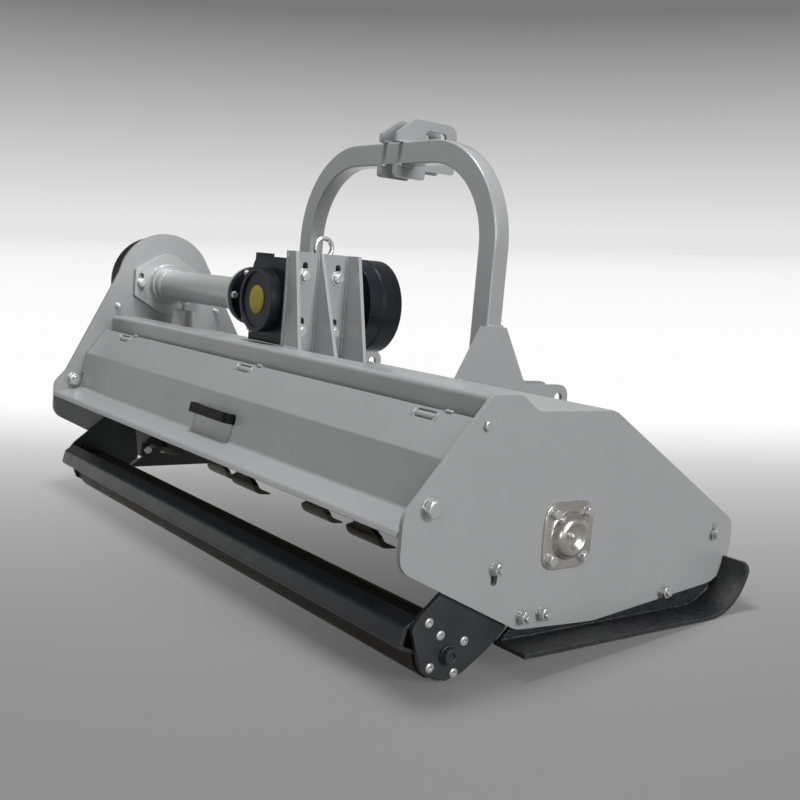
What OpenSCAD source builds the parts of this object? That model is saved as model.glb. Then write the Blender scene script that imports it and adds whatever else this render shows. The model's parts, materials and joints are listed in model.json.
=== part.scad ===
// Flail mower for a small tractor: belt-driven hammer rotor under a folded deck, hinged rear
// hood, three-point hitch with a bent hoop, side skids and a rear support roller.
// Everything is drawn about the rotor axis at mid-width, with x to the right-hand end, y
// forward to the tractor and z up, and is then parked on its roller and skid noses.

/* [Deck] */
// Clear width between the side plates
deck_w = 1450; // [1300:10:1600]
// Side plate thickness
plate_t = 8; // [6:1:10]
// Deck sheet thickness
sheet_t = 5; // [4:1:7]
// Deck top above the rotor axis
deck_top = 203; // [198:1:215]
// Front end of the flat deck ahead of the rotor axis
deck_flat = 87; // [75:1:100]
// Front edge of the side plates ahead of the rotor axis
plate_front = 448; // [436:1:460]
// Rear nose of the side plates behind the rotor axis
plate_rear = 341; // [338:1:350]
// Lowest edge of the side plates below the rotor axis
plate_low = 156; // [150:1:160]

/* [Rear beam and hood] */
// Beam top above the rotor axis
beam_top = 229; // [226:1:236]
// Beam rear wall behind the rotor axis
beam_rear = 198; // [194:1:200]
// Hood sheet thickness
hood_t = 4; // [3:1:5]
// Hood fold behind the rotor axis
hood_fold_back = 264; // [258:1:268]
// Hood fold above the rotor axis
hood_fold_up = 131; // [124:1:138]
// Lip root behind the rotor axis
lip_root_back = 281; // [278:1:286]
// Lip root above the rotor axis
lip_root_up = 44; // [40:1:48]
// Lip edge behind the rotor axis
lip_back = 339; // [330:1:340]
// Length of each hinge knuckle
knuckle_len = 44; // [36:1:56]
// Hinge pin radius
hinge_pin_r = 5; // [4:0.5:5.5]

/* [Rotor] */
// Rotor tube radius
rotor_r = 57; // [54:1:58]
// Flail bolt circle radius
flail_pin_r = 92; // [91:1:95]
// Flail bolt radius
flail_bolt_r = 8; // [7:0.5:9]
// Reach of a hammer from its bolt to its edge
flail_reach = 80; // [76:1:82]
// Hammer width across the cutting edge
flail_w = 104; // [96:1:106]
// Hammer stem width
stem_w = 46; // [40:1:48]
// Hammer stem thickness
stem_t = 14; // [11:1:16]
// Forward reach of the cutting lip
lip_reach = 42; // [36:1:44]
// Rotor shaft radius
shaft_r = 20; // [18:1:22]

/* [Drive] */
// Lay shaft axis behind the rotor axis
lay_back = 57; // [50:1:62]
// Lay shaft axis above the rotor axis
lay_up = 319; // [312:1:326]
// Lay shaft radius
lay_r = 17.5; // [15:0.5:20]
// Drive tube radius
tube_r = 38; // [36:1:42]
// Drive tube wall
tube_wall = 5; // [4:1:7]
// Drive pulley radius
drive_pulley_r = 90; // [80:1:100]
// Driven pulley radius
driven_pulley_r = 65; // [58:1:70]
// Radius of the hump of the left plate
hump_r = 131; // [126:1:136]
// Upper end of the belt cover, radius
cover_top_r = 120; // [116:1:124]
// Lower end of the belt cover, radius
cover_low_r = 96; // [90:1:105]
// Depth of the belt cover
cover_depth = 70; // [66:1:90]
// Gearbox and hitch centre, left of mid-width
hitch_offset = 50; // [30:1:70]
// Input shaft radius, 35 mm splined stub
input_r = 17.5; // [15:0.5:20]
// Radius of the guard round the input shaft
guard_r = 103; // [96:1:106]
// Length of the guard
guard_len = 82; // [70:1:90]

/* [Hitch] */
// Spread of the lower link points
lower_spread = 683; // [660:1:700]
// Width of the hoop tube, and gap between the plates at each link point
hoop_w = 50; // [45:1:56]
// Depth of the hoop tube, front to back
hoop_d = 40; // [36:1:48]
// Wall of the hoop tube
hoop_wall = 4; // [3:1:6]
// Top of the hoop above the rotor axis
hoop_top = 687; // [640:1:720]
// Outside bend radius of the hoop
hoop_bend = 225; // [180:1:260]
// Rear face of the hoop ahead of the rotor axis
hoop_front = 158; // [154:1:166]
// Thickness of the hitch plates
hitch_t = 8; // [6:1:10]
// Lower link point ahead of the rotor axis
link_front = 373; // [366:1:380]
// Lower link point above the rotor axis
link_up = 165; // [160:1:170]
// Lower link hole radius, for a 22 mm pin
link_hole_r = 11.2; // [10:0.1:13]
// Top link slot half height, for a 19 mm pin
top_slot_r = 9.8; // [9:0.1:11]
// Gap between the top link plates
top_gap = 50; // [45:1:56]

/* [Skids and roller] */
// Skid sole width
skid_w = 73; // [65:1:80]
// Skid plate thickness
skid_t = 8; // [6:1:8]
// Sole below the rotor axis
skid_low = 171; // [170:1:180]
// Outside radius of the skid nose
nose_r = 105; // [95:1:110]
// Start of the skid nose ahead of the rotor axis
nose_front = 335; // [325:1:345]
// Roller radius
roller_r = 47; // [44:1:50]
// Roller axis behind the rotor axis
roller_back = 228; // [224:1:234]
// Roller axis below the rotor axis
roller_low = 169; // [166:1:174]
// Roller bracket thickness
bracket_t = 8; // [6:1:10]
// Roller axle radius
axle_r = 13; // [11:1:15]

/* [Hidden] */
$fn = 64;
// Overrun of every cut past the face it opens
cut = 2;
// Running clearance of shafts in bearings
run_gap = 0.05;
// Clearance of bolts in their holes
bolt_gap = 0.5;
// Clearance of loose hinges
hinge_gap = 0.4;
// Clearance of moving sheets beside fixed ones
sheet_gap = 3;
// Flats along each rounded corner of an outline
arc_steps = 6;
// Share of a radius at which a straight run leaves a round, so that the two cross
tangent_share = 0.998;
// Angles of half a turn, for bends and rows
half_turn = 180;

half_w = deck_w / 2;
plate_out = half_w + plate_t;
rotor_axis = [0, 0];
lay_axis = [-lay_back, lay_up];
gear_x = -hitch_offset;

// Side plate outline
plate_low_front = 83;
front_drop = 9;
front_low = 119;
front_corner_r = 25;
front_low_r = 65;
rear_low_back = 95;
rear_low = 147;
rear_low_r = 50;
nose_low = 26;
nose_high = 54;
nose_low_r = 35;
nose_high_r = 28;
bump_rear = 189;
bump_front = 131;
bump_foot = 89;
bump_r = 12;
flat_bend_r = 40;
low_bend_r = 160;
hump_front = 200;
// Deck and beam folds
fold_r = 9;
front_lip = 36;
front_lip_in = 6;
beam_drop = 54;
beam_t = 5;

// Fasteners: shank radius, with hexagon radius and head height as shares of it
m8_r = 4;
m10_r = 5;
m12_r = 6;
m16_r = 8;
hex_share = 1.83;
head_share = 1.25;
m8 = m8_r * [1, hex_share, head_share];
m10 = m10_r * [1, hex_share, head_share];
m12 = m12_r * [1, hex_share, head_share];
m16 = m16_r * [1, hex_share, head_share];
washer_t = 2;
washer_share = 1.35;
// Places on the side plates, ahead of and above the rotor axis
lock_back = 294;
lock_up = 64;
top_bolt_back = 197;
top_bolt_up = 183;
height_back = 153;
height_low = 40;
height_slot = 22;
skid_bolt_rear = 86;
skid_bolt_mid = 42;
skid_bolt_front = 262;
skid_bolt_low = 125;
rod_front = 391;
rod_low = 29;
lock_bolt = [-lock_back, lock_up];
top_bolt = [-top_bolt_back, top_bolt_up];
height_bolt = [-height_back, -height_low];
skid_bolts = [for (y = [-skid_bolt_rear, -skid_bolt_mid, skid_bolt_front]) [y, -skid_bolt_low]];
flap_rod_at = [rod_front, -rod_low];

// Hinge of the hood
hood_up_back = 215;
hood_up = 193;
knuckle_r = 7;
hinge_down = 13;
hinge_in = 6;
hinge_ear_t = 6;
hinge_tab_h = 16;
hinge_slot_gap = 3;
hinge_shares = [-0.8, 0.04, 0.85];
lip_drop = 9;
lip_edge_up = 31;
lip_bend_r = 10;
hood_bend_r = 8;
lock_notch_w = 16;
lock_notch_h = 42;
band_dir = unit([hood_up_back - hood_fold_back, hood_fold_up - hood_up]);
hinge_axis = [-hood_up_back, hood_up] + hinge_down * band_dir + hinge_in * [-band_dir[1], band_dir[0]];

// Handle strap on the hood
handle_w = 164;
handle_h = 20;
handle_t = 6;
handle_out = 22;
handle_foot = 36;
handle_bend_r = 12;
handle_x = 14;

// Hammers in four rows round the rotor: rear, bottom, front and top
flail_count = 12;
flail_rows = 4;
flail_lean_angle = 46;
rotor_rest_angle = 24;
flail_balance_angle = 8.8;
flail_end_gap = 14;
flail_eye_r = 16;
flail_edge_t = 3;
flail_foot_t = 15;
flail_back_r = 26;
flail_throat_r = 16;
flail_flare_share = 0.55;
flail_shoulder_share = 0.72;
lug_t = 8;
lug_gap = 1.5;
lug_r = 17;
lug_root_w = 44;
rotor_wall = 8;
rotor_end_gap = 25;
disc_t = 20;
flail_pitch = (deck_w - 2 * flail_end_gap) / flail_count;

// Rotor bearings
bearing_square = 76;
bearing_flange = 108;
bearing_flange_t = 8;
bearing_hub_r = 34;
bearing_corner_r = 18;
cover_t = 3;
dish_r = 36;
dish_top_r = 25;
dish_h = 24;
dish_well_r = 12;
dish_well_h = 14;

// Belt drive
belt_count = 3;
belt_pitch = 15;
belt_w = 9;
belt_h = 8;
groove_deep = 11;
groove_w = 13;
groove_foot_w = 10;
pulley_side = 8;
pulley_start = 14;
belt_cover_t = 3;
cover_ear_r = 14;
cover_ear_rear = 186;
cover_ear_front = 94;
cover_ear_up = 255;
cover_ears = [[-cover_ear_rear, cover_ear_up], [cover_ear_front, cover_ear_up]];
pulley_w = belt_count * belt_pitch + pulley_side;

// Drive tube and its flange on the left plate
flange_t = 12;
flange_half = 90;
flange_high = 86;
flange_end = 34;
flange_corner_r = 10;
flange_bolt_out = 74;
flange_slot = 36;
boss_r = 50;
boss_len = 18;
step_r = 44;
step_len = 22;
bearing_ring_r = 36;
bearing_ring_len = 20;
neck_flange_r = 66;
neck_flange_t = 8;
neck_out = 200;
neck_x = gear_x - neck_out;
neck_r = 46;
collar_r = 41;
collar_len = 38;

// Gearbox
gear_half = 66;
gear_side = 72;
gear_rear = 138;
gear_front = 22;
gear_base = 231;
gear_high = 410;
gear_corner_r = 30;
gear_cover_r = 67;
gear_cover_t = 26;
gear_rim_w = 9;
gear_rim_t = 4;
badge_r = 29;
badge_t = 1;
gear_lug_in = 10;
gear_lug_w = 26;
gear_lug_long = 30;
gear_lug_h = 7;
gear_neck_r = 46;
gear_neck_len = 42;
screw_r = 4;
screw_count = 6;
input_out = 74;
pinion_share = 1 / 3;
bevel_r = 45;
bevel_face = 14;
bevel_gap = 0.5;
pinion_hub = 4;
cavity_half = 56;
cavity_rear = 122;
cavity_front = 8;
gear_bearing_r = 32;
gear_bearing_len = 18;
spline_count = 6;
spline_w = 8.6;
spline_r_share = 0.84;
guard_t = 4;
guard_rib = 2;
guard_rib_at_share = 0.42;

// Gearbox bracket
bracket_plate_t = 8;
bracket_rear = 139;
bracket_front = 15;
bracket_high = 425;
rib_t = 8;
rib_mid = 65;
rib_rear_top = 27;
rib_mid_top = 6;
rib_front_top = 37;
rib_rear_foot = 62;
rib_mid_foot = 90;
rib_front_foot = 87;
gear_bolt_long = 81;
gear_bolt_high = 114;
gear_bolts = [for (y = [-1, 1], z = [-1, 1]) lay_axis + [y * gear_bolt_long, z * gear_bolt_high] / 2];
gear_slot = 22;
gear_bolt_in = 14;

// Lifting eye
eye_r = 21;
eye_wire = 5;
eye_right = 14;
eye_back = 14;
eye_collar_r = 11;
eye_collar_h = 7;

// Adjusting jack under the drive tube
jack_in = 118;
jack_r = 32;
jack_top_r = 26;
jack_h = 56;

// Hitch plates
gusset_top = 308;
gusset_top_rear = 140;
gusset_top_front = 205;
gusset_rear = 85;
gusset_front = 271;
gusset_low_front = 300;
ear_r = 28;
ear_up = 28;
ear_corner_r = 26;
// Top link plates round the hoop, from its rear face and its top
top_back = 16;
top_chamfer = 34;
top_foot_run = 70;
top_slot_start = 74;
top_slot_long = 40;
top_nose_run = 154;
top_rear_rise = 19;
top_slot_rise = 24;
top_rise = 54;
top_drop = 5;
top_foot_drop = 27;
top_nose_r = 24;
top_corner_r = 8;
top_rear = hoop_front - top_back;
top_lower_front = hoop_front + top_foot_run;
top_nose = hoop_front + top_nose_run;
top_slot_rear = hoop_front + top_slot_start;
top_slot_front = top_slot_rear + top_slot_long;
top_slot_up = hoop_top + top_slot_rise;
top_high = hoop_top + top_rise;
top_low = hoop_top - hoop_w - top_drop;
top_lowest = hoop_top - hoop_w - top_foot_drop;

// Skids
skid_rear = 126;
skid_web_rear = 98;
skid_web_step = 146;
skid_web_high = 108;
skid_web_slope = 24;
skid_sweep_angle = 84;
nose_corner_r = 18;
skid_rib_h = 40;

// Roller and brackets
roller_end_gap = 27;
roller_wall = 6;
roller_bearing_t = 14;
roller_bearing_r = 44;
axle_out = 10;
bracket_corner_r = 10;
roller_screw_ring = 36;
roller_screw_angle = 27;
roller_screw_count = 4;
scraper_screw_back = 41;
scraper_screw_up = 55;
// Bracket outline about the roller axis, as shares of its reach and rise
bracket_reach = 117;
bracket_rise = 157;
bracket_shares = [
    [-0.62, 0.3], [-0.4, -0.14], [0, -0.27], [0.29, -0.22], [0.7, -0.03],
    [1, 0.15], [0.85, 1], [0.44, 1], [-0.48, 0.44]
];
roller_screw_r = 4;
roller_screw_head_r = 8;
roller_screw_head_t = 2.5;
scraper_t = 6;
scraper_top_back = 286;
scraper_top_low = 106;
scraper_edge_back = 308;
scraper_edge_low = 119;
scraper_foot_back = 316;
scraper_foot_low = 152;
scraper_gap = 5;
scraper_tab_t = 8;
scraper_tab_r = 11;
scraper_bend_r = 9;

// Front flaps on their rod
rod_r = 7;
rod_out = 14;
flap_count = 14;
flap_gap = 4;
flap_t = 6;
flap_len = 92;
flap_eye_r = 12;
pin_wire_r = 2;
pin_reach = 12;

// Parked attitude: the floor touches the roller and both skid noses
nose_axis = [nose_front, -skid_low + nose_r];
roller_axis = [-roller_back, -roller_low];
roller_screws = [
    for (i = [0 : roller_screw_count - 1])
        let (t = roller_screw_angle + i * 360 / roller_screw_count)
        roller_axis + roller_screw_ring * [cos(t), sin(t)]
];
scraper_screw = roller_axis + [-scraper_screw_back, scraper_screw_up];
foot_line = nose_axis - roller_axis;
park_pitch = atan2(foot_line[1], foot_line[0]) - asin((nose_r - roller_r) / norm(foot_line));
park_lift = roller_r - roller_back * sin(park_pitch) + roller_low * cos(park_pitch);
skid_out = half_w - skid_t + skid_w;
cover_out = plate_out + cover_depth;
origin_x = (skid_out - cover_out) / 2;
origin_y = (plate_front * cos(park_pitch) - plate_rear * cos(park_pitch)) / 2;

// Parked place of a point of the machine
function parked(p) = [
    p[0] - origin_x,
    p[1] * cos(park_pitch) + p[2] * sin(park_pitch) - origin_y,
    p[2] * cos(park_pitch) - p[1] * sin(park_pitch) + park_lift
];

echo(park_pitch = park_pitch, park_lift = park_lift, origin = [origin_x, origin_y], hinge_axis = hinge_axis);

function unit(v) = v / norm(v);
function flat(p) = [p[0], p[1]];

// Points of the rounded corner b between a and c; the third number of b is its radius
function corner(a, b, c) =
    let (
        p = flat(b),
        u = unit(flat(a) - p),
        v = unit(flat(c) - p),
        half = acos(u * v) / 2,
        mid = p + unit(u + v) * b[2] / sin(half),
        s = p + u * b[2] / tan(half) - mid,
        turn = (half_turn - 2 * half) * (u[0] * v[1] - u[1] * v[0] < 0 ? 1 : -1)
    )
    [for (i = [0 : arc_steps])
        let (t = turn * i / arc_steps)
        mid + [s[0] * cos(t) - s[1] * sin(t), s[0] * sin(t) + s[1] * cos(t)]];

// Closed outline with rounded corners
function rounded(p) = [
    for (i = [0 : len(p) - 1])
        each (p[i][2] == 0 ? [flat(p[i])]
            : corner(p[(i + len(p) - 1) % len(p)], p[i], p[(i + 1) % len(p)]))
];

// Open fold line with rounded bends
function bent(p) = [
    for (i = [0 : len(p) - 1])
        each (i == 0 || i == len(p) - 1 ? [flat(p[i])] : corner(p[i - 1], p[i], p[i + 1]))
];

// Outline of a sheet of thickness t laid on the left of a fold line
function mitre(p, i) =
    let (
        last = len(p) - 1,
        d0 = i > 0 ? unit(p[i] - p[i - 1]) : unit(p[1] - p[0]),
        d1 = i < last ? unit(p[i + 1] - p[i]) : d0,
        n0 = [-d0[1], d0[0]],
        m = unit(n0 + [-d1[1], d1[0]])
    )
    m / (m * n0);
function sheet(p, t) = concat(p, [for (i = [len(p) - 1 : -1 : 0]) p[i] + t * mitre(p, i)]);

// Height of the deck top at a place ahead of the rotor axis
deck_fall = (deck_top + front_drop) / (plate_front - front_lip_in - deck_flat);
function deck_at(y) = deck_top - max(0, y - deck_flat) * deck_fall;

// Place of hammer i along the rotor, its row angle and its bolt
function flail_x(i) = -half_w + flail_end_gap + flail_pitch * (i + 1 / 2);
function flail_turn(i) = half_turn + rotor_rest_angle + (i % flail_rows) * 360 / flail_rows;
function flail_pin(i) = flail_pin_r * [cos(flail_turn(i)), sin(flail_turn(i))];
// The top row has fallen forward on the tube, the others hang with their weight under the bolt
function flail_fall(i) = i % flail_rows == flail_rows - 1
    ? flail_lean_angle + rotor_rest_angle
    : park_pitch - flail_balance_angle;

module stance() {
    translate([-origin_x, -origin_y, park_lift])
        rotate([-park_pitch, 0, 0])
            children();
}

// Extrusions and rods along the machine's three directions
module along_x(x0, long) {
    translate([x0, 0, 0])
        rotate([90, 0, 90])
            linear_extrude(long)
                children();
}
module along_y(y0, long) {
    translate([0, y0 + long, 0])
        rotate([90, 0, 0])
            linear_extrude(long)
                children();
}
module rod_x(x0, long, at, r) {
    translate([x0, at[0], at[1]])
        rotate([0, 90, 0])
            cylinder(r = r, h = long);
}
module cone_x(x0, long, at, r1, r2) {
    translate([x0, at[0], at[1]])
        rotate([0, 90, 0])
            cylinder(r1 = r1, r2 = r2, h = long);
}
module rod_y(y0, long, at, r) {
    translate([at[0], y0 + long, at[1]])
        rotate([90, 0, 0])
            cylinder(r = r, h = long);
}
module hex_x(x0, long, at, r) {
    translate([x0, at[0], at[1]])
        rotate([0, 90, 0])
            cylinder(r = r, h = long, $fn = 6);
}

// Flat outline with two round ends, tall
module upright_slot(at, r, tall) {
    for (s = [-1, 1])
        translate([at[0], at[1] + s * tall / 2])
            circle(r);
    translate([at[0] - r, at[1] - tall / 2])
        square([2 * r, tall]);
}

// Bolt from a head on the outer face inwards; side is 1 at the right-hand end
module bolt(side, face, at, size, grip, nut = true, washer = false) {
    wt = washer ? washer_t : 0;
    end = nut ? size[2] + washer_t : 0;
    mirror([side < 0 ? 1 : 0, 0, 0]) {
        hex_x(face + wt, size[2], at, size[1]);
        rod_x(face - grip - end, grip + wt + end, at, size[0]);
        if (washer)
            rod_x(face, washer_t, at, size[1] * washer_share);
        if (nut)
            hex_x(face - grip - size[2], size[2], at, size[1]);
    }
}

// Belt path about the lay shaft and rotor axes
module belt_loop(r1, r2) {
    span = rotor_axis - lay_axis;
    e = unit(span);
    k = (r1 - r2) / norm(span);
    side = sqrt(1 - k * k) * [-e[1], e[0]];
    translate(lay_axis)
        circle(r1);
    translate(rotor_axis)
        circle(r2);
    polygon([
        lay_axis + tangent_share * r1 * (k * e + side),
        rotor_axis + tangent_share * r2 * (k * e + side),
        rotor_axis + tangent_share * r2 * (k * e - side),
        lay_axis + tangent_share * r1 * (k * e - side)
    ]);
}

// Side plates

plate_points = [
    [-bump_rear, beam_top, bump_r],
    [-plate_rear, nose_high, nose_high_r],
    [-plate_rear, -nose_low, nose_low_r],
    [-rear_low_back, -rear_low, rear_low_r],
    [plate_low_front, -plate_low, low_bend_r],
    [plate_front, -front_low, front_low_r],
    [plate_front, -front_drop, front_corner_r],
    [deck_flat, deck_top, flat_bend_r],
    [-bump_foot, deck_top, bump_r],
    [-bump_front, beam_top, bump_r]
];

module bearing_bolt_places() {
    for (y = [-1, 1], z = [-1, 1])
        translate([y, z] * bearing_square / 2)
            children();
}

module plate_holes() {
    circle(bearing_hub_r);
    bearing_bolt_places()
        circle(m10[0] + bolt_gap);
    translate(lock_bolt)
        circle(m16[0] + bolt_gap);
    translate(top_bolt)
        circle(m10[0] + bolt_gap);
    for (at = skid_bolts)
        translate(at)
            circle(m12[0] + bolt_gap);
    upright_slot(height_bolt - [0, height_slot / 2], m12[0] + bolt_gap, height_slot);
    translate(flap_rod_at)
        circle(rod_r + bolt_gap);
}

module right_side_plate() {
    color("silver")
        stance()
            along_x(half_w, plate_t)
                difference() {
                    polygon(rounded(plate_points));
                    plate_holes();
                }
}

// The left plate rises in a hump that carries the lay shaft
module left_side_plate() {
    slope = unit([plate_rear - bump_rear, beam_top - nose_high]);
    foot = [hump_front, deck_at(hump_front)];
    run = foot - lay_axis;
    turn = atan2(run[1], run[0]) + acos(hump_r / norm(run));
    color("silver")
        stance()
            along_x(-plate_out, plate_t)
                difference() {
                    union() {
                        polygon(rounded(plate_points));
                        translate(lay_axis)
                            circle(hump_r);
                        polygon([
                            [-bump_rear, beam_top] - slope * bump_rear,
                            foot,
                            lay_axis + tangent_share * hump_r * [cos(turn), sin(turn)],
                            lay_axis + tangent_share * hump_r * [-slope[1], slope[0]]
                        ]);
                    }
                    plate_holes();
                    translate(lay_axis)
                        circle(bearing_ring_r);
                    for (s = [-1, 1])
                        translate(lay_axis + [s * flange_bolt_out, 0])
                            circle(m12[0] + bolt_gap);
                    for (at = cover_ears)
                        translate(at)
                            circle(m8[0] + bolt_gap);
                }
}

// Folded deck from the rear wall to the front lip
module deck_shell() {
    path = bent([
        [plate_front - front_lip_in, -front_drop - front_lip],
        [plate_front - front_lip_in, -front_drop, fold_r],
        [deck_flat, deck_top, fold_r],
        [-beam_rear + beam_t, deck_top]
    ]);
    color("lightgray")
        stance()
            along_x(-half_w, deck_w)
                polygon(sheet(path, sheet_t));
}

// Folded beam along the rear edge of the deck
module rear_beam() {
    path = bent([
        [-bump_foot, deck_top],
        [-bump_front, beam_top, fold_r],
        [-beam_rear, beam_top, fold_r],
        [-beam_rear, deck_top - beam_drop]
    ]);
    color("gray")
        stance()
            difference() {
                along_x(-half_w, deck_w)
                    polygon(sheet(path, beam_t));
                along_x(-half_w - cut, deck_w + 2 * cut)
                    translate([-beam_rear + beam_t, deck_top - sheet_t])
                        square([beam_rear, sheet_t]);
            }
}

// Hood hinges: a knuckle on a tab from the beam, and the pin through it
module hinge_places() {
    for (s = hinge_shares)
        translate([s * half_w, 0, 0])
            children();
}

module hood_hinges() {
    pin_len = knuckle_len + 2 * (hinge_ear_t + hinge_gap);
    tab_top = hinge_axis[1] - knuckle_r - cut;
    color("dimgray")
        stance()
            hinge_places() {
                difference() {
                    along_x(-knuckle_len / 2, knuckle_len) {
                        translate(hinge_axis)
                            circle(knuckle_r);
                        polygon([
                            hinge_axis + [-knuckle_r / 2, -knuckle_r / 2],
                            [-beam_rear, tab_top - hinge_tab_h],
                            [-beam_rear, tab_top],
                            hinge_axis + [knuckle_r / 2, -knuckle_r / 2]
                        ]);
                    }
                    rod_x(-knuckle_len, 2 * knuckle_len, hinge_axis, hinge_pin_r);
                }
                rod_x(-pin_len / 2, pin_len, hinge_axis, hinge_pin_r);
            }
}

// Folded rear hood with its rolled lip
module rear_hood() {
    path = bent([
        [-lip_back - lip_bend_r / 2, lip_edge_up - lip_drop],
        [-lip_back, lip_edge_up, lip_bend_r],
        [-lip_root_back, lip_root_up, hood_bend_r],
        [-hood_fold_back, hood_fold_up, hood_bend_r],
        [-hood_up_back, hood_up]
    ]);
    long = deck_w - 2 * sheet_gap;
    ear_x = knuckle_len / 2 + hinge_gap;
    slot_r = knuckle_r + hinge_slot_gap;
    outward = [band_dir[1], -band_dir[0]];
    color("silver")
        stance()
            difference() {
                union() {
                    along_x(-long / 2, long)
                        polygon(sheet(path, -hood_t));
                    hinge_places()
                        for (x0 = [ear_x, -ear_x - hinge_ear_t])
                            along_x(x0, hinge_ear_t) {
                                translate(hinge_axis)
                                    circle(knuckle_r);
                                polygon([
                                    hinge_axis - knuckle_r * band_dir,
                                    hinge_axis + knuckle_r * band_dir,
                                    hinge_axis + knuckle_r * band_dir + hinge_in * outward,
                                    hinge_axis - knuckle_r * band_dir + hinge_in * outward
                                ]);
                            }
                }
                hinge_places() {
                    rod_x(-ear_x - hinge_ear_t - hinge_gap, 2 * (ear_x + hinge_ear_t + hinge_gap), hinge_axis,
                        hinge_pin_r + hinge_gap);
                    rod_x(-ear_x, 2 * ear_x, hinge_axis, slot_r);
                }
                for (s = [-1, 1])
                    translate([s * half_w, -lip_root_back, lock_bolt[1] - hood_t])
                        cube([2 * lock_notch_w, 2 * (hood_t + lock_notch_w), lock_notch_h], center = true);
            }
}

// Grab handle of bent flat strap, welded to the hood above its lip
module hood_handle() {
    band = unit([lip_root_back - hood_fold_back, hood_fold_up - lip_root_up]);
    root = [-lip_root_back, lip_root_up] + (handle_foot + handle_h) * band;
    path = bent([
        [-handle_w / 2, 0],
        [-handle_w / 2, handle_out, handle_bend_r],
        [handle_w / 2, handle_out, handle_bend_r],
        [handle_w / 2, 0]
    ]);
    color("black")
        stance()
            translate([handle_x, root[0], root[1]])
                rotate([atan2(band[0], -band[1]), 0, 0])
                    linear_extrude(handle_h)
                        polygon(sheet(path, -handle_t));
}

// Rotor: tube, end discs, stub shafts and two lugs for each hammer
module rotor() {
    tube_end = half_w - rotor_end_gap;
    left_end = plate_out + pulley_start + pulley_w;
    color("darkslategray")
        stance()
            difference() {
                union() {
                    difference() {
                        rod_x(-tube_end, 2 * tube_end, rotor_axis, rotor_r);
                        rod_x(-tube_end + disc_t, 2 * (tube_end - disc_t), rotor_axis, rotor_r - rotor_wall);
                    }
                    rod_x(-left_end, left_end - tube_end + disc_t, rotor_axis, shaft_r);
                    rod_x(tube_end - disc_t, plate_out - tube_end + disc_t, rotor_axis, shaft_r);
                    for (i = [0 : flail_count - 1])
                        translate([flail_x(i), 0, 0])
                            rotate([flail_turn(i), 0, 0])
                                for (s = [-1, 1])
                                    along_x(s * (stem_w / 2 + lug_gap + lug_t / 2) - lug_t / 2, lug_t)
                                        difference() {
                                            union() {
                                                translate([flail_pin_r, 0])
                                                    circle(lug_r);
                                                polygon([
                                                    [rotor_r - rotor_wall, -lug_root_w / 2],
                                                    [flail_pin_r, -lug_r],
                                                    [flail_pin_r, lug_r],
                                                    [rotor_r - rotor_wall, lug_root_w / 2]
                                                ]);
                                            }
                                            translate([flail_pin_r, 0])
                                                circle(flail_bolt_r);
                                        }
                }
                for (i = [0 : flail_count - 1])
                    translate([flail_x(i), 0, 0])
                        rod_x(-flail_w / 2, flail_w, flail_pin(i), flail_bolt_r);
            }
}

// Bolts that carry the hammers, with head and lock nut outside the lugs
module flail_bolts() {
    out = stem_w / 2 + lug_gap + lug_t;
    color("gainsboro")
        stance()
            for (i = [0 : flail_count - 1])
                translate([flail_x(i), 0, 0]) {
                    rod_x(-out - m16[2] / 2, 2 * out + m16[2], flail_pin(i), flail_bolt_r);
                    hex_x(out, m16[2] / 2, flail_pin(i), m16[1]);
                    hex_x(-out - m16[2] / 2, m16[2] / 2, flail_pin(i), m16[1]);
                }
}

// Forged hammer: a curled section trimmed to a stem that flares into a wide foot
module flail(i) {
    section = rounded([
        [-stem_t / 2, 0, 0],
        [-stem_t / 2, -flail_reach, flail_back_r],
        [lip_reach, -flail_reach, 0],
        [lip_reach, -flail_reach + flail_edge_t, 0],
        [stem_t / 2, -flail_reach + flail_foot_t, flail_throat_r],
        [stem_t / 2, 0, 0]
    ]);
    front = rounded([
        [-stem_w / 2, 0, 0],
        [-stem_w / 2, -flail_reach * flail_flare_share, stem_t],
        [-flail_w / 2, -flail_reach * flail_shoulder_share, stem_t / 2],
        [-flail_w / 2, -flail_reach - cut, 0],
        [flail_w / 2, -flail_reach - cut, 0],
        [flail_w / 2, -flail_reach * flail_shoulder_share, stem_t / 2],
        [stem_w / 2, -flail_reach * flail_flare_share, stem_t],
        [stem_w / 2, 0, 0]
    ]);
    color("darkolivegreen")
        stance()
            translate([flail_x(i), flail_pin(i)[0], flail_pin(i)[1]])
                rotate([flail_fall(i), 0, 0])
                    difference() {
                        union() {
                            rod_x(-stem_w / 2, stem_w, [0, 0], flail_eye_r);
                            intersection() {
                                along_x(-flail_w / 2, flail_w)
                                    polygon(section);
                                along_y(-flail_reach, 2 * flail_reach)
                                    polygon(front);
                            }
                        }
                        rod_x(-stem_w, 2 * stem_w, [0, 0], flail_bolt_r + bolt_gap);
                    }
}

module bearing_square_face() {
    polygon(rounded([
        for (c = [[-1, -1], [1, -1], [1, 1], [-1, 1]])
            [c[0] * bearing_flange / 2, c[1] * bearing_flange / 2, bearing_corner_r]
    ]));
}

// Flanged rotor bearings inside the side plates, with the hub in the plate
module bearing_unit(side) {
    mirror([side < 0 ? 1 : 0, 0, 0])
        difference() {
            union() {
                along_x(half_w - bearing_flange_t, bearing_flange_t)
                    bearing_square_face();
                rod_x(half_w - bearing_flange_t, bearing_flange_t + plate_t, rotor_axis, bearing_hub_r);
            }
            rod_x(half_w - bearing_flange_t - cut, bearing_flange_t + plate_t + 2 * cut, rotor_axis, shaft_r + run_gap);
            along_x(half_w - bearing_flange_t - cut, bearing_flange_t + 2 * cut)
                bearing_bolt_places()
                    circle(m10[0] + bolt_gap);
        }
}

module right_bearing() {
    color("slategray")
        stance()
            bearing_unit(1);
}

module left_bearing() {
    color("slategray")
        stance()
            bearing_unit(-1);
}

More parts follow.
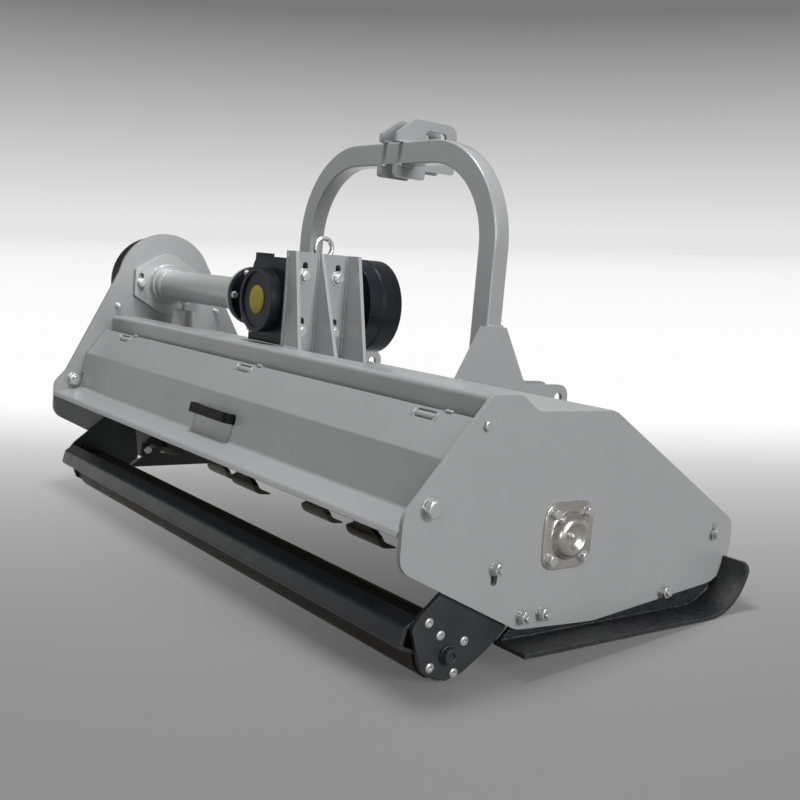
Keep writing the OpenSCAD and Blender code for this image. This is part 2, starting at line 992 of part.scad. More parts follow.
// Pressed cover over the right-hand bearing: a dished ring on a square flange
module bearing_cover() {
    rim = [
        [dish_r, 0],
        [dish_r, cover_t],
        [dish_top_r, dish_h],
        [dish_top_r - cover_t, dish_h],
        [dish_well_r, dish_well_h],
        [0, dish_well_h],
        [0, dish_well_h - cover_t],
        [dish_well_r + cover_t / 2, dish_well_h - cover_t],
        [dish_top_r - cover_t, dish_h - cover_t - cover_t / 2],
        [dish_r - cover_t, 0]
    ];
    color("tan")
        stance() {
            along_x(plate_out, cover_t)
                difference() {
                    bearing_square_face();
                    circle(dish_r - cover_t);
                    bearing_bolt_places()
                        circle(m10[0] + bolt_gap);
                }
            translate([plate_out, 0, 0])
                rotate([0, 90, 0])
                    rotate_extrude()
                        polygon(rim);
        }
}

module bearing_bolts() {
    color("gainsboro")
        stance()
            for (side = [-1, 1], y = [-1, 1], z = [-1, 1])
                bolt(side, plate_out + (side > 0 ? cover_t : 0), [y, z] * bearing_square / 2, m10,
                    plate_t + bearing_flange_t + (side > 0 ? cover_t : 0), false, true);
}

// Gearbox casting, its cover and the bracket that carries it
module gearbox_housing() {
    body = rounded([
        [gear_x - gear_half, gear_base, 0],
        [gear_x + gear_side, gear_base, 0],
        [gear_x + gear_side, gear_high, gear_corner_r],
        [gear_x - gear_half, gear_high, gear_corner_r]
    ]);
    color("darkslategray")
        stance()
            difference() {
                union() {
                    along_y(-gear_rear, gear_rear + gear_front)
                        polygon(body);
                    cone_x(neck_x + neck_flange_t, gear_x - gear_half - neck_x, lay_axis, neck_r, gear_half);
                    rod_x(neck_x, neck_flange_t * 2, lay_axis, neck_flange_r);
                    rod_y(gear_front, gear_neck_len, [gear_x, lay_up], gear_neck_r);
                    translate([gear_x - gear_half + gear_lug_in, -gear_rear, gear_high - gear_corner_r])
                        cube([gear_lug_w, gear_lug_long, gear_corner_r + gear_lug_h]);
                }
                along_y(-cavity_rear, cavity_rear + cavity_front)
                    translate([gear_x - cavity_half, lay_up - cavity_half])
                        square(2 * cavity_half);
                rod_x(neck_x - cut, gear_x - cavity_half - neck_x + 2 * cut, lay_axis, gear_bearing_r);
                rod_y(0, gear_front + gear_neck_len + cut, [gear_x, lay_up], gear_bearing_r);
                for (at = gear_bolts)
                    rod_x(gear_x + gear_side - gear_bolt_in, gear_bolt_in + cut, at, m12[0] + bolt_gap);
            }
}

// Bearings of the input shaft and of the lay shaft's right-hand end
module gearbox_bearings() {
    inner_x = gear_x - cavity_half - gear_bearing_len;
    front_y = gear_front + gear_neck_len - gear_bearing_len;
    color("gainsboro")
        stance() {
            difference() {
                rod_x(neck_x, gear_bearing_len, lay_axis, gear_bearing_r);
                rod_x(neck_x - cut, gear_bearing_len + 2 * cut, lay_axis, lay_r + run_gap);
            }
            difference() {
                rod_x(inner_x, gear_bearing_len, lay_axis, gear_bearing_r);
                rod_x(inner_x - cut, gear_bearing_len + 2 * cut, lay_axis, lay_r + run_gap);
            }
            difference() {
                rod_y(front_y, gear_bearing_len, [gear_x, lay_up], gear_bearing_r);
                rod_y(front_y - cut, gear_bearing_len + 2 * cut, [gear_x, lay_up], input_r + run_gap);
            }
        }
}

// Bevel pair about the crossing of the two axes, drawn as its pitch cones
module bevel_gear() {
    apex = bevel_r * pinion_share;
    back = bevel_face * pinion_share;
    color("gray")
        stance()
            translate([gear_x, -lay_back + apex + bevel_gap, lay_up])
                rotate([-90, 0, 0])
                    difference() {
                        union() {
                            translate([0, 0, -back])
                                cylinder(r1 = bevel_r - bevel_face, r2 = bevel_r, h = back);
                            cylinder(r = bevel_r, h = back);
                        }
                        translate([0, 0, -back - cut])
                            cylinder(r = input_r, h = 2 * (back + cut));
                    }
}

module bevel_pinion() {
    apex = bevel_r * pinion_share;
    color("gray")
        stance() {
            cone_x(gear_x - bevel_r, bevel_face, lay_axis, apex, apex - bevel_face * pinion_share);
            rod_x(gear_x - bevel_r - pinion_hub, pinion_hub, lay_axis, apex);
        }
}

module gearbox_cover() {
    at = [gear_x, lay_up];
    color("black")
        stance() {
            difference() {
                rod_y(-gear_rear - gear_cover_t, gear_cover_t, at, gear_cover_r);
                rod_y(-gear_rear - gear_cover_t - cut, gear_rim_t + cut, at, gear_cover_r - gear_rim_w);
            }
            rod_y(-gear_rear - gear_cover_t + gear_rim_t - badge_t, badge_t, at, badge_r);
        }
}

module gearbox_bracket() {
    x0 = gear_x + gear_side;
    x1 = x0 + bracket_plate_t;
    places = [-bracket_rear, -rib_mid, bracket_front - rib_t];
    floors = [beam_top, deck_top, deck_top];
    tops = [rib_rear_top, rib_mid_top, rib_front_top];
    foots = [rib_rear_foot, rib_mid_foot, rib_front_foot];
    color("lightgray")
        stance() {
            along_x(x0, bracket_plate_t)
                difference() {
                    polygon([
                        [-bracket_rear, beam_top],
                        [-bump_front, beam_top],
                        [-bump_foot, deck_top],
                        [bracket_front, deck_top],
                        [bracket_front, bracket_high],
                        [-bracket_rear, bracket_high]
                    ]);
                    for (at = gear_bolts)
                        upright_slot(at + [0, gear_slot / 2], m12[0] + bolt_gap, gear_slot);
                }
            for (i = [0 : len(places) - 1])
                along_y(places[i], rib_t)
                    polygon([
                        [x1 - cut, floors[i]],
                        [x1 + foots[i], floors[i]],
                        [x1 + tops[i], bracket_high],
                        [x1 - cut, bracket_high]
                    ]);
        }
}

module gearbox_bolts() {
    face = gear_x + gear_side + bracket_plate_t;
    color("gainsboro")
        stance() {
            for (at = gear_bolts)
                bolt(1, face, at, m12, bracket_plate_t + gear_bolt_in, false, true);
            for (i = [0 : screw_count - 1])
                let (t = i * 360 / screw_count, at = lay_axis + (neck_flange_r - 2 * screw_r) * [cos(t), sin(t)])
                hex_x(neck_x + 2 * neck_flange_t, screw_r, at, screw_r * hex_share);
        }
}

module lifting_eye() {
    z0 = gear_high + eye_collar_h + eye_r;
    color("gainsboro")
        stance()
            translate([gear_x + eye_right, -eye_back, 0]) {
                translate([0, 0, gear_high])
                    cylinder(r = eye_collar_r, h = eye_wire);
                translate([0, 0, gear_high])
                    cylinder(r = eye_wire, h = eye_collar_h + eye_wire / 2);
                translate([0, 0, z0])
                    rotate([0, 90, 0])
                        rotate_extrude()
                            translate([eye_r, 0])
                                circle(eye_wire);
            }
}

// Drum guard round the input shaft, closed at the gearbox end
module pto_guard() {
    rib_at = guard_len * guard_rib_at_share;
    y0 = gear_front + gear_neck_len - guard_t;
    color("black")
        stance()
            translate([gear_x, y0, lay_up])
                rotate([-90, 0, 0])
                    rotate_extrude()
                        polygon([
                            [gear_neck_r, 0],
                            [guard_r - guard_rib, 0],
                            [guard_r - guard_rib, rib_at],
                            [guard_r, rib_at + guard_rib],
                            [guard_r, guard_len],
                            [guard_r - guard_t, guard_len],
                            [guard_r - guard_t, rib_at + guard_rib],
                            [guard_r - guard_rib - guard_t, rib_at],
                            [guard_r - guard_rib - guard_t, guard_t],
                            [gear_neck_r, guard_t]
                        ]);
}

// Splined input stub
module input_shaft() {
    out = gear_front + gear_neck_len;
    color("gainsboro")
        stance()
            translate([gear_x, 0, lay_up])
                rotate([-90, 0, 0]) {
                    translate([0, 0, bevel_r * pinion_share - lay_back])
                        cylinder(r = input_r, h = out + lay_back - bevel_r * pinion_share);
                    difference() {
                        translate([0, 0, out])
                            cylinder(r = input_r, h = input_out);
                        for (i = [0 : spline_count - 1])
                            rotate(i * 360 / spline_count)
                                translate([input_r * spline_r_share, -spline_w / 2, out + cut])
                                    cube([input_r, spline_w, input_out]);
                    }
                }
}

// Tube from the left plate to the gearbox, with a two-eared flange
module drive_tube() {
    x0 = -half_w;
    face = rounded([
        [-flange_half, flange_end, flange_corner_r],
        [-flange_half, -flange_end, flange_corner_r],
        [0, -flange_high, boss_r],
        [flange_half, -flange_end, flange_corner_r],
        [flange_half, flange_end, flange_corner_r],
        [0, flange_high, boss_r]
    ]);
    color("silver")
        stance()
            difference() {
                union() {
                    along_x(x0, flange_t)
                        translate(lay_axis)
                            difference() {
                                polygon(face);
                                for (s = [-1, 1])
                                    upright_slot([s * flange_bolt_out, 0], m12[0] + bolt_gap, flange_slot);
                            }
                    rod_x(x0, flange_t + boss_len, lay_axis, boss_r);
                    rod_x(x0, flange_t + boss_len + step_len, lay_axis, step_r);
                    rod_x(x0, neck_x - x0, lay_axis, tube_r);
                    rod_x(neck_x - neck_flange_t - collar_len, collar_len, lay_axis, collar_r);
                    rod_x(neck_x - neck_flange_t, neck_flange_t, lay_axis, neck_flange_r);
                }
                rod_x(x0 - cut, neck_x - x0 + 2 * cut, lay_axis, tube_r - tube_wall);
            }
}

module lay_bearing() {
    color("gainsboro")
        stance()
            difference() {
                rod_x(-half_w, bearing_ring_len, lay_axis, tube_r - tube_wall);
                rod_x(-half_w - cut, bearing_ring_len + 2 * cut, lay_axis, lay_r + run_gap);
            }
}

module lay_shaft() {
    left_end = plate_out + pulley_start + pulley_w;
    color("gray")
        stance()
            rod_x(-left_end, left_end + gear_x - bevel_r - pinion_hub, lay_axis, lay_r);
}

// Grooved pulley turned from one profile
module pulley(r, bore, at) {
    edge = [
        for (i = [0 : belt_count - 1])
            let (mid = pulley_side / 2 + belt_pitch * (i + 1 / 2))
            each [
                [r, mid - groove_w / 2],
                [r - groove_deep, mid - groove_foot_w / 2],
                [r - groove_deep, mid + groove_foot_w / 2],
                [r, mid + groove_w / 2]
            ]
    ];
    translate([-plate_out - pulley_start, at[0], at[1]])
        rotate([0, -90, 0])
            rotate_extrude()
                polygon(concat([[bore, 0], [r, 0]], edge, [[r, pulley_w], [bore, pulley_w]]));
}

module drive_pulley() {
    color("dimgray")
        stance()
            pulley(drive_pulley_r, lay_r, lay_axis);
}

module driven_pulley() {
    color("dimgray")
        stance()
            pulley(driven_pulley_r, shaft_r, rotor_axis);
}

module drive_belts() {
    first = plate_out + pulley_start + (pulley_side + belt_pitch) / 2;
    color("black")
        stance()
            for (i = [0 : belt_count - 1])
                along_x(-first - belt_pitch * i - belt_w / 2, belt_w)
                    difference() {
                        belt_loop(drive_pulley_r - hinge_gap, driven_pulley_r - hinge_gap);
                        belt_loop(drive_pulley_r - hinge_gap - belt_h, driven_pulley_r - hinge_gap - belt_h);
                    }
}

// Cover over the belts, open towards the left plate, with two fixing ears
module belt_cover() {
    color("black")
        stance()
            difference() {
                union() {
                    along_x(-cover_out, cover_depth)
                        belt_loop(cover_top_r, cover_low_r);
                    along_x(-plate_out - belt_cover_t, belt_cover_t)
                        for (at = cover_ears)
                            difference() {
                                union() {
                                    translate(at)
                                        circle(cover_ear_r);
                                    translate(at + [at[0] < 0 ? 0 : -2, -1] * cover_ear_r)
                                        square(2 * cover_ear_r);
                                }
                                translate(at)
                                    circle(m8[0] + bolt_gap);
                            }
                }
                along_x(-cover_out + belt_cover_t, cover_depth)
                    belt_loop(cover_top_r - belt_cover_t, cover_low_r - belt_cover_t);
            }
}

// Cone and screw that set the belt tension under the drive tube
module tension_jack() {
    color("silver")
        stance()
            translate([-half_w + jack_in, -lay_back, deck_top]) {
                cylinder(r1 = jack_r, r2 = jack_top_r, h = jack_h);
                cylinder(r = m10[0], h = lay_up - tube_r - deck_top - hinge_gap);
                translate([0, 0, lay_up - tube_r - deck_top - hinge_gap - m10[2]])
                    cylinder(r = m10[1], h = m10[2], $fn = 6);
            }
}

// Hoop of bent rectangular tube
module hoop_face(inset) {
    half = lower_spread / 2 + hoop_w / 2;
    difference() {
        arch(half - inset, hoop_top - inset, hoop_bend - inset);
        arch(half - hoop_w + inset, hoop_top - hoop_w + inset, hoop_bend - hoop_w + inset);
    }
}
module arch(half, top, r) {
    foot = deck_at(hoop_front + hoop_d);
    translate([-half, foot])
        square([2 * half, top - r - foot]);
    translate([-half + r, foot])
        square([2 * (half - r), top - foot]);
    for (s = [-1, 1])
        translate([s * (half - r), top - r])
            circle(r);
}

module hitch_hoop() {
    color("silver")
        stance()
            translate([gear_x, 0, 0])
                difference() {
                    along_y(hoop_front, hoop_d)
                        hoop_face(0);
                    along_y(hoop_front + hoop_wall, hoop_d - 2 * hoop_wall)
                        hoop_face(hoop_wall);
                    along_x(-lower_spread, 2 * lower_spread)
                        polygon([
                            [deck_flat, deck_top],
                            [plate_front, deck_at(plate_front)],
                            [deck_flat, deck_at(plate_front)]
                        ]);
                }
}

// Pairs of plates that carry the lower links: a tall one outside that holds the hoop's foot, and
// a low one inside it
module hitch_gusset(side) {
    ear = [
        [gusset_low_front, deck_at(gusset_low_front), 0],
        [link_front + ear_r, link_up - ear_r, ear_corner_r],
        [link_front + ear_r, link_up + ear_up, ear_corner_r]
    ];
    tall = concat([[gusset_rear, deck_top, 0], [deck_flat, deck_top, 0]], ear, [
        [gusset_front, link_up + ear_up, ear_r],
        [gusset_top_front, gusset_top, 0],
        [gusset_top_rear, gusset_top, 0]
    ]);
    low = concat([[hoop_front, deck_at(hoop_front), 0]], ear, [[hoop_front, link_up + ear_up, 0]]);
    translate([gear_x, 0, 0])
        for (p = [-1, 1])
            along_x(side * lower_spread / 2 + p * (hoop_w + hitch_t) / 2 - hitch_t / 2, hitch_t)
                difference() {
                    polygon(rounded(p == side ? tall : low));
                    translate([link_front, link_up])
                        circle(link_hole_r);
                }
}

module right_hitch_gusset() {
    color("lightgray")
        stance()
            hitch_gusset(1);
}

module left_hitch_gusset() {
    color("lightgray")
        stance()
            hitch_gusset(-1);
}

// Pair of slotted top link plates notched round the hoop
module top_link_bracket() {
    outline = rounded([
        [top_rear, hoop_top, 0],
        [hoop_front + hoop_d, hoop_top, 0],
        [hoop_front + hoop_d, hoop_top - hoop_w, 0],
        [top_rear, hoop_top - hoop_w, 0],
        [top_rear, top_lowest, top_corner_r],
        [top_lower_front, top_lowest, top_corner_r],
        [top_lower_front, top_low, 0],
        [top_nose, top_low, top_corner_r],
        [top_nose, top_high, top_nose_r],
        [hoop_front + top_chamfer, top_high, top_corner_r],
        [top_rear, hoop_top + top_rear_rise, 0]
    ]);
    color("lightgray")
        stance()
            translate([gear_x, 0, 0])
                for (s = [-1, 1])
                    along_x(s * (top_gap + hitch_t) / 2 - hitch_t / 2, hitch_t)
                        difference() {
                            polygon(outline);
                            for (y = [top_slot_rear, top_slot_front])
                                translate([y, top_slot_up])
                                    circle(top_slot_r);
                            translate([top_slot_rear, top_slot_up - top_slot_r])
                                square([top_slot_front - top_slot_rear, 2 * top_slot_r]);
                        }
}

// Skids: web inside the plate, sole outside, nose bent up
module skid(side) {
    inner = half_w - skid_t;
    tip = nose_r * [sin(skid_sweep_angle), -cos(skid_sweep_angle)];
    mirror([side < 0 ? 1 : 0, 0, 0])
        difference() {
            union() {
                along_x(inner, skid_w) {
                    translate([-skid_rear, -skid_low])
                        square([nose_front + skid_rear, skid_t]);
                    translate(nose_axis)
                        intersection() {
                            difference() {
                                circle(nose_r);
                                circle(nose_r - skid_t);
                            }
                            polygon([[0, 0], [0, -2 * nose_r], 2 * nose_r * [1, -1], 2 * tip]);
                        }
                }
                along_x(inner, skid_t)
                    skid_web(tip);
            }
            along_x(half_w, plate_t)
                polygon(rounded(plate_points));
            translate([inner + skid_w, 0, 0])
                nose_corner(nose_axis + tip);
        }
}
// The web follows the sole and tapers out along the inside of the nose
module skid_web(tip) {
    difference() {
        polygon([
            [-skid_web_rear, -skid_web_step],
            [-skid_web_rear - skid_web_slope, skid_t / 2 - skid_low],
            [nose_front, skid_t / 2 - skid_low],
            [nose_front, skid_rib_h - skid_low],
            [nose_front - skid_rib_h, -skid_web_high],
            [-skid_web_rear, -skid_web_high]
        ]);
        for (at = skid_bolts)
            translate(at)
                circle(m12[0] + bolt_gap);
    }
    translate(nose_axis)
        intersection() {
            circle(nose_r - skid_t / 2);
            polygon([[0, skid_rib_h - nose_r], [0, -2 * nose_r], 2 * nose_r * [1, -1], tip]);
        }
}
// Rounded outer corner of the nose
module nose_corner(tip) {
    translate([-nose_corner_r, tip[0] - nose_r / 2, tip[1] - nose_corner_r])
        rotate([-90, 0, 0])
            linear_extrude(nose_r)
                difference() {
                    translate([0, -nose_corner_r - cut])
                        square([nose_corner_r + cut, nose_corner_r + cut]);
                    circle(nose_corner_r / tangent_share);
                }
}

module right_skid() {
    color("black")
        stance()
            skid(1);
}

module left_skid() {
    color("black")
        stance()
            skid(-1);
}

// Roller brackets inside the side plates
module roller_bracket(side) {
    outline = rounded([
        for (s = bracket_shares)
            [roller_axis[0] + s[0] * bracket_reach, roller_axis[1] + s[1] * bracket_rise, bracket_corner_r]
    ]);
    mirror([side < 0 ? 1 : 0, 0, 0])
        along_x(half_w - bracket_t, bracket_t)
            difference() {
                polygon(outline);
                translate(roller_axis)
                    circle(axle_r + bolt_gap);
                translate(height_bolt)
                    circle(m12[0] + bolt_gap);
                for (at = concat(roller_screws, [scraper_screw]))
                    translate(at)
                        circle(roller_screw_r + bolt_gap);
            }
}

module right_roller_bracket() {
    color("black")
        stance()
            roller_bracket(1);
}

module left_roller_bracket() {
    color("black")
        stance()
            roller_bracket(-1);
}

// Support roller: tube with end discs and stub axles
module roller() {
    end = half_w - roller_end_gap;
    color("saddlebrown")
        stance()
            difference() {
                union() {
                    rod_x(-end, 2 * end, roller_axis, roller_r);
                    rod_x(-half_w - axle_out, 2 * (half_w + axle_out), roller_axis, axle_r);
                }
                rod_x(-end + roller_wall, 2 * (end - roller_wall), roller_axis, roller_r - roller_wall);
            }
}

module roller_bearings() {
    color("dimgray")
        stance()
            for (side = [-1, 1])
                mirror([side < 0 ? 1 : 0, 0, 0])
                    along_x(half_w - bracket_t - roller_bearing_t, roller_bearing_t)
                        difference() {
                            translate(roller_axis)
                                circle(roller_bearing_r);
                            translate(roller_axis)
                                circle(axle_r + run_gap);
                            for (at = roller_screws)
                                translate(at)
                                    circle(roller_screw_r + bolt_gap);
                        }
}

module roller_bolts() {
    grip = bracket_t + roller_bearing_t;
    color("gainsboro")
        stance()
            for (side = [-1, 1])
                mirror([side < 0 ? 1 : 0, 0, 0])
                    for (at = concat(roller_screws, [scraper_screw])) {
                        rod_x(half_w, roller_screw_head_t, at, roller_screw_head_r);
                        rod_x(half_w - grip, grip, at, roller_screw_r);
                    }
}

// Folded scraper behind the roller, with a fixing tab at each end
module scraper_bar() {
    path = bent([
        [-scraper_top_back, -scraper_top_low],
        [-scraper_edge_back, -scraper_edge_low, scraper_bend_r],
        [-scraper_foot_back, -scraper_foot_low, scraper_bend_r],
        [-roller_back - roller_r - scraper_gap, -roller_low + scraper_gap]
    ]);
    end = half_w - bracket_t;
    color("black")
        stance() {
            along_x(-end, 2 * end)
                polygon(sheet(path, scraper_t));
            for (x0 = [-end, end - scraper_tab_t])
                along_x(x0, scraper_tab_t)
                    difference() {
                        union() {
                            translate(scraper_screw)
                                circle(scraper_tab_r);
                            polygon([
                                scraper_screw + [0, scraper_tab_r],
                                path[0],
                                path[1],
                                scraper_screw - [0, scraper_tab_r]
                            ]);
                        }
                        translate(scraper_screw)
                            circle(roller_screw_r + bolt_gap);
                    }
        }
}

module frame_bolts() {
    color("gainsboro")
        stance() {
            for (side = [-1, 1]) {
                bolt(side, plate_out, lock_bolt, m16, plate_t, true, true);
                bolt(side, plate_out, top_bolt, m10, plate_t, false, false);
                bolt(side, plate_out, height_bolt, m12, plate_t + bracket_t, true, true);
                for (at = skid_bolts)
                    bolt(side, plate_out, at, m12, plate_t + skid_t, true, true);
            }
            for (s = [-1, 1])
                bolt(1, flange_t - half_w, lay_axis + [s * flange_bolt_out, 0], m12, plate_t + flange_t);
            for (at = cover_ears)
                bolt(-1, plate_out + belt_cover_t, at, m8, plate_t + belt_cover_t);
        }
}

// Rod across the front with a split pin at each end
module flap_rod() {
    color("gray")
        stance() {
            rod_x(-plate_out - rod_out, 2 * (plate_out + rod_out), flap_rod_at, rod_r);
            for (s = [-1, 1])
                translate([s * (plate_out + rod_out / 2), flap_rod_at[0], flap_rod_at[1] - pin_reach])
                    cylinder(r = pin_wire_r, h = 2 * pin_reach);
        }
}

// Row of steel flaps that hang from the rod
module front_flaps() {
    span = deck_w - 2 * (skid_t + sheet_gap);
    pitch = span / flap_count;
    color("darkgray")
        stance()
            for (i = [0 : flap_count - 1])
                along_x(-span / 2 + i * pitch + flap_gap / 2, pitch - flap_gap)
                    translate(flap_rod_at)
                        rotate(park_pitch)
                            difference() {
                                union() {
                                    circle(flap_eye_r);
                                    translate([-flap_t / 2, -flap_len])
                                        square([flap_t, flap_len]);
                                }
                                circle(rod_r + hinge_gap);
                            }
}

// Sub-part to draw

right_side_plate();
left_side_plate();
deck_shell();
rear_beam();
hood_hinges();
rear_hood();
hood_handle();
flap_rod();
front_flaps();
hitch_hoop();
right_hitch_gusset();
left_hitch_gusset();
top_link_bracket();
gearbox_housing();
gearbox_bearings();
bevel_gear();
bevel_pinion();
gearbox_cover();
gearbox_bracket();
lifting_eye();
pto_guard();
input_shaft();
drive_tube();
lay_shaft();
lay_bearing();
drive_pulley();
driven_pulley();
drive_belts();
belt_cover();
tension_jack();
rotor();
flail_bolts();
right_bearing();
left_bearing();
bearing_cover();
right_skid();
left_skid();
right_roller_bracket();
left_roller_bracket();
roller();
roller_bearings();
scraper_bar();
frame_bolts();
bearing_bolts();
gearbox_bolts();
roller_bolts();
flail(0);  // flail_01
flail(1);  // flail_02
flail(2);  // flail_03
flail(3);  // flail_04
flail(4);  // flail_05
flail(5);  // flail_06
flail(6);  // flail_07
flail(7);  // flail_08
flail(8);  // flail_09
flail(9);  // flail_10
flail(10);  // flail_11
flail(11);  // flail_12
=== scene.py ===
import json
import math
import random

import bpy
from mathutils import Matrix, Vector


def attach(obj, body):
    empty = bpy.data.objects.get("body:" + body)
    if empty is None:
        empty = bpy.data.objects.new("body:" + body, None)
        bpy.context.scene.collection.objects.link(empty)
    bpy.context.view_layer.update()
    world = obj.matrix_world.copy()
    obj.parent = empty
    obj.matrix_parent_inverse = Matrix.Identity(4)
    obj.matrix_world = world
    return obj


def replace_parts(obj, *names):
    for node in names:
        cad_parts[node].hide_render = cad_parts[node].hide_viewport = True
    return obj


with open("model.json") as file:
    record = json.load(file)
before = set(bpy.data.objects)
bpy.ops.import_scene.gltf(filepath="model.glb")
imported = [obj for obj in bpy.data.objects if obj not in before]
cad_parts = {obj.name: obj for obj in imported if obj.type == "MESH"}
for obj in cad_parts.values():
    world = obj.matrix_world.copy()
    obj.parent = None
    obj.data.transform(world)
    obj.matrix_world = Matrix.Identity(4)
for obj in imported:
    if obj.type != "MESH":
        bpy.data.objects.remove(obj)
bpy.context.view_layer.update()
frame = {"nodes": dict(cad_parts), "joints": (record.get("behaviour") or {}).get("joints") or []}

nodes = frame["nodes"]

# The mower stands on its roller and on both skid noses, tipped a few degrees back.
# Places are millimetres from the rotor axis at mid-width: to the right end, ahead, and up.
turns = {joint["name"]: joint for joint in frame["joints"]}
rotor_axis = Vector(turns["rotor_spin"]["pos_m"])
right = Vector((1, 0, 0))
ahead = Vector(turns["input_spin"]["axis"])
upward = Vector((0, -ahead.z, ahead.y))


def place(x, y, z):
    return rotor_axis + (right * x + ahead * y + upward * z) / 1000


# Side plates, deck and rear beam: laser-cut and folded steel sheet, welded into one box and
# sprayed silver grey. The paint has a faint orange peel, and the cut edges are a little rounded.
def put(tree, kind, inputs=None, **settings):
    node = tree.nodes.new("ShaderNode" + kind)
    for key, value in settings.items():
        setattr(node, key, value)
    for key, value in (inputs or {}).items():
        if isinstance(value, bpy.types.NodeSocket):
            tree.links.new(value, node.inputs[key])
        else:
            node.inputs[key].default_value = value
    return node


def effect(name, knobs, results):
    group = bpy.data.node_groups.new(name, "ShaderNodeTree")
    for knob, value in knobs.items():
        socket = group.interface.new_socket(knob, in_out="INPUT", socket_type="NodeSocketFloat")
        socket.default_value = value
    for result, kind in results.items():
        group.interface.new_socket(result, in_out="OUTPUT", socket_type="NodeSocket" + kind)
    return group, group.nodes.new("NodeGroupInput").outputs, group.nodes.new("NodeGroupOutput").inputs


def blend(tree, share, low, high):
    mix = put(tree, "Mix", {0: share, 6: low, 7: high}, data_type="RGBA")
    return mix.outputs[2]


def spread(tree, value, low, high, to_low=0.0, to_high=1.0):
    reach = {"Value": value, "From Min": low, "From Max": high, "To Min": to_low, "To Max": to_high}
    return put(tree, "MapRange", reach).outputs[0]


def times(tree, a, b):
    return put(tree, "Math", {0: a, 1: b}, operation="MULTIPLY").outputs[0]


# Sprayed skin: slow clouding of the coat, and the small ripple of paint that has flowed out
skin, knob, result = effect("sprayed_skin", {"Ripple": 260.0, "Cloud": 7.0},
                            {"Cloud": "Float", "Height": "Float"})
where = put(skin, "TexCoord").outputs["Object"]
cloud = put(skin, "TexNoise", {"Vector": where, "Scale": knob["Cloud"], "Detail": 5.0, "Roughness": 0.6})
ripple = put(skin, "TexNoise", {"Vector": where, "Scale": knob["Ripple"], "Detail": 3.0, "Roughness": 0.55})
skin.links.new(spread(skin, cloud.outputs[0], 0.3, 0.7), result["Cloud"])
skin.links.new(ripple.outputs[0], result["Height"])

# Eased edges: the small radius that cutting, grinding and paint leave on every corner
eased, knob, result = effect("eased_edges", {"Radius": 0.0012}, {"Normal": "Vector"})
eased.links.new(put(eased, "Bevel", {"Radius": knob["Radius"]}, samples=4).outputs[0], result["Normal"])

# Rubbed edges and painted highlight: corners where handling has taken the coat off, in broken patches; on the
# silver grey paints the lighter corners are painted highlight.
rubbed_and_lit, knob, result = effect("rubbed_and_lit_edges", {"Reach": 0.002, "Amount": 0.3, "Patch": 45.0},
                              {"Mask": "Float"})
turned_to = put(rubbed_and_lit, "Bevel", {"Radius": knob["Reach"]}, samples=4).outputs[0]
facing = put(rubbed_and_lit, "NewGeometry").outputs["Normal"]
along = put(rubbed_and_lit, "VectorMath", {0: turned_to, 1: facing}, operation="DOT_PRODUCT").outputs["Value"]
corner = spread(rubbed_and_lit, along, 0.97, 0.78)
where = put(rubbed_and_lit, "TexCoord").outputs["Object"]
patch = put(rubbed_and_lit, "TexNoise", {"Vector": where, "Scale": knob["Patch"], "Detail": 6.0, "Roughness": 0.7})
broken = spread(rubbed_and_lit, patch.outputs[0], 0.42, 0.62)
rubbed_and_lit.links.new(times(rubbed_and_lit, times(rubbed_and_lit, corner, broken), knob["Amount"]), result["Mask"])


def group_node(tree, group, **knobs):
    node = tree.nodes.new("ShaderNodeGroup")
    node.node_tree = group
    for knob, value in knobs.items():
        node.inputs[knob].default_value = value
    return node.outputs


# Unless a finish gives its own, its corners take a lighter grey (0.45) in broken patches: a painted highlight
# for light catching the edges.
def finish(name, colour, cloud, rough, swing=0.06, metallic=0.0, coat=0.0, ripple=260.0, clouds=7.0,
           depth=0.00008, radius=0.0012, rub_and_highlight=0.15, reach=0.002, bare_and_highlight=(0.45, 0.45, 0.46), shine=0.5):
    look = bpy.data.materials.new(name)
    look.use_nodes = True
    tree = look.node_tree
    shader = tree.nodes["Principled BSDF"]
    surface = group_node(tree, skin, Ripple=ripple, Cloud=clouds)
    # The edge mask: worn coat on some finishes, and a painted highlight on the silver grey paints.
    worn = group_node(tree, rubbed_and_lit, Reach=reach, Amount=rub_and_highlight)["Mask"]
    base = blend(tree, surface["Cloud"], (*colour, 1), (*cloud, 1))
    tree.links.new(blend(tree, worn, base, (*bare_and_highlight, 1)), shader.inputs["Base Color"])
    gloss = spread(tree, surface["Cloud"], 0, 1, rough - swing, rough + swing)
    tree.links.new(gloss, shader.inputs["Roughness"])
    bump = put(tree, "Bump", {"Strength": 1.0, "Distance": depth, "Height": surface["Height"],
                              "Normal": group_node(tree, eased, Radius=radius)["Normal"]})
    tree.links.new(bump.outputs[0], shader.inputs["Normal"])
    shader.inputs["Metallic"].default_value = metallic
    shader.inputs["Coat Weight"].default_value = coat
    shader.inputs["Coat Roughness"].default_value = 0.15
    shader.inputs["Specular IOR Level"].default_value = shine
    return look


def dress(look, *names):
    for name in names:
        nodes[name].data.materials.clear()
        nodes[name].data.materials.append(look)


def piece(name, shells, look, body, crease=38):
    points, faces = [], []
    for shell_points, shell_faces in shells:
        start = len(points)
        points.extend(shell_points)
        faces.extend(tuple(i + start for i in face) for face in shell_faces)
    mesh = bpy.data.meshes.new(name)
    mesh.from_pydata(points, [], faces)
    mesh.shade_smooth()
    mesh.set_sharp_from_angle(angle=math.radians(crease))
    mesh.materials.append(look)
    made = bpy.data.objects.new(name, mesh)
    bpy.context.scene.collection.objects.link(made)
    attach(made, body)
    return made


# Rings of points one after another, joined into a skin and closed at both ends
def skinned(rings):
    sides = len(rings[0])
    faces = []
    for i in range(len(rings) - 1):
        for k in range(sides):
            a, b = i * sides + k, i * sides + (k + 1) % sides
            faces.append((a, b, b + sides, a + sides))
    faces.append(tuple(range(sides))[::-1])
    faces.append(tuple(range((len(rings) - 1) * sides, len(rings) * sides)))
    return [point for ring_points in rings for point in ring_points], faces


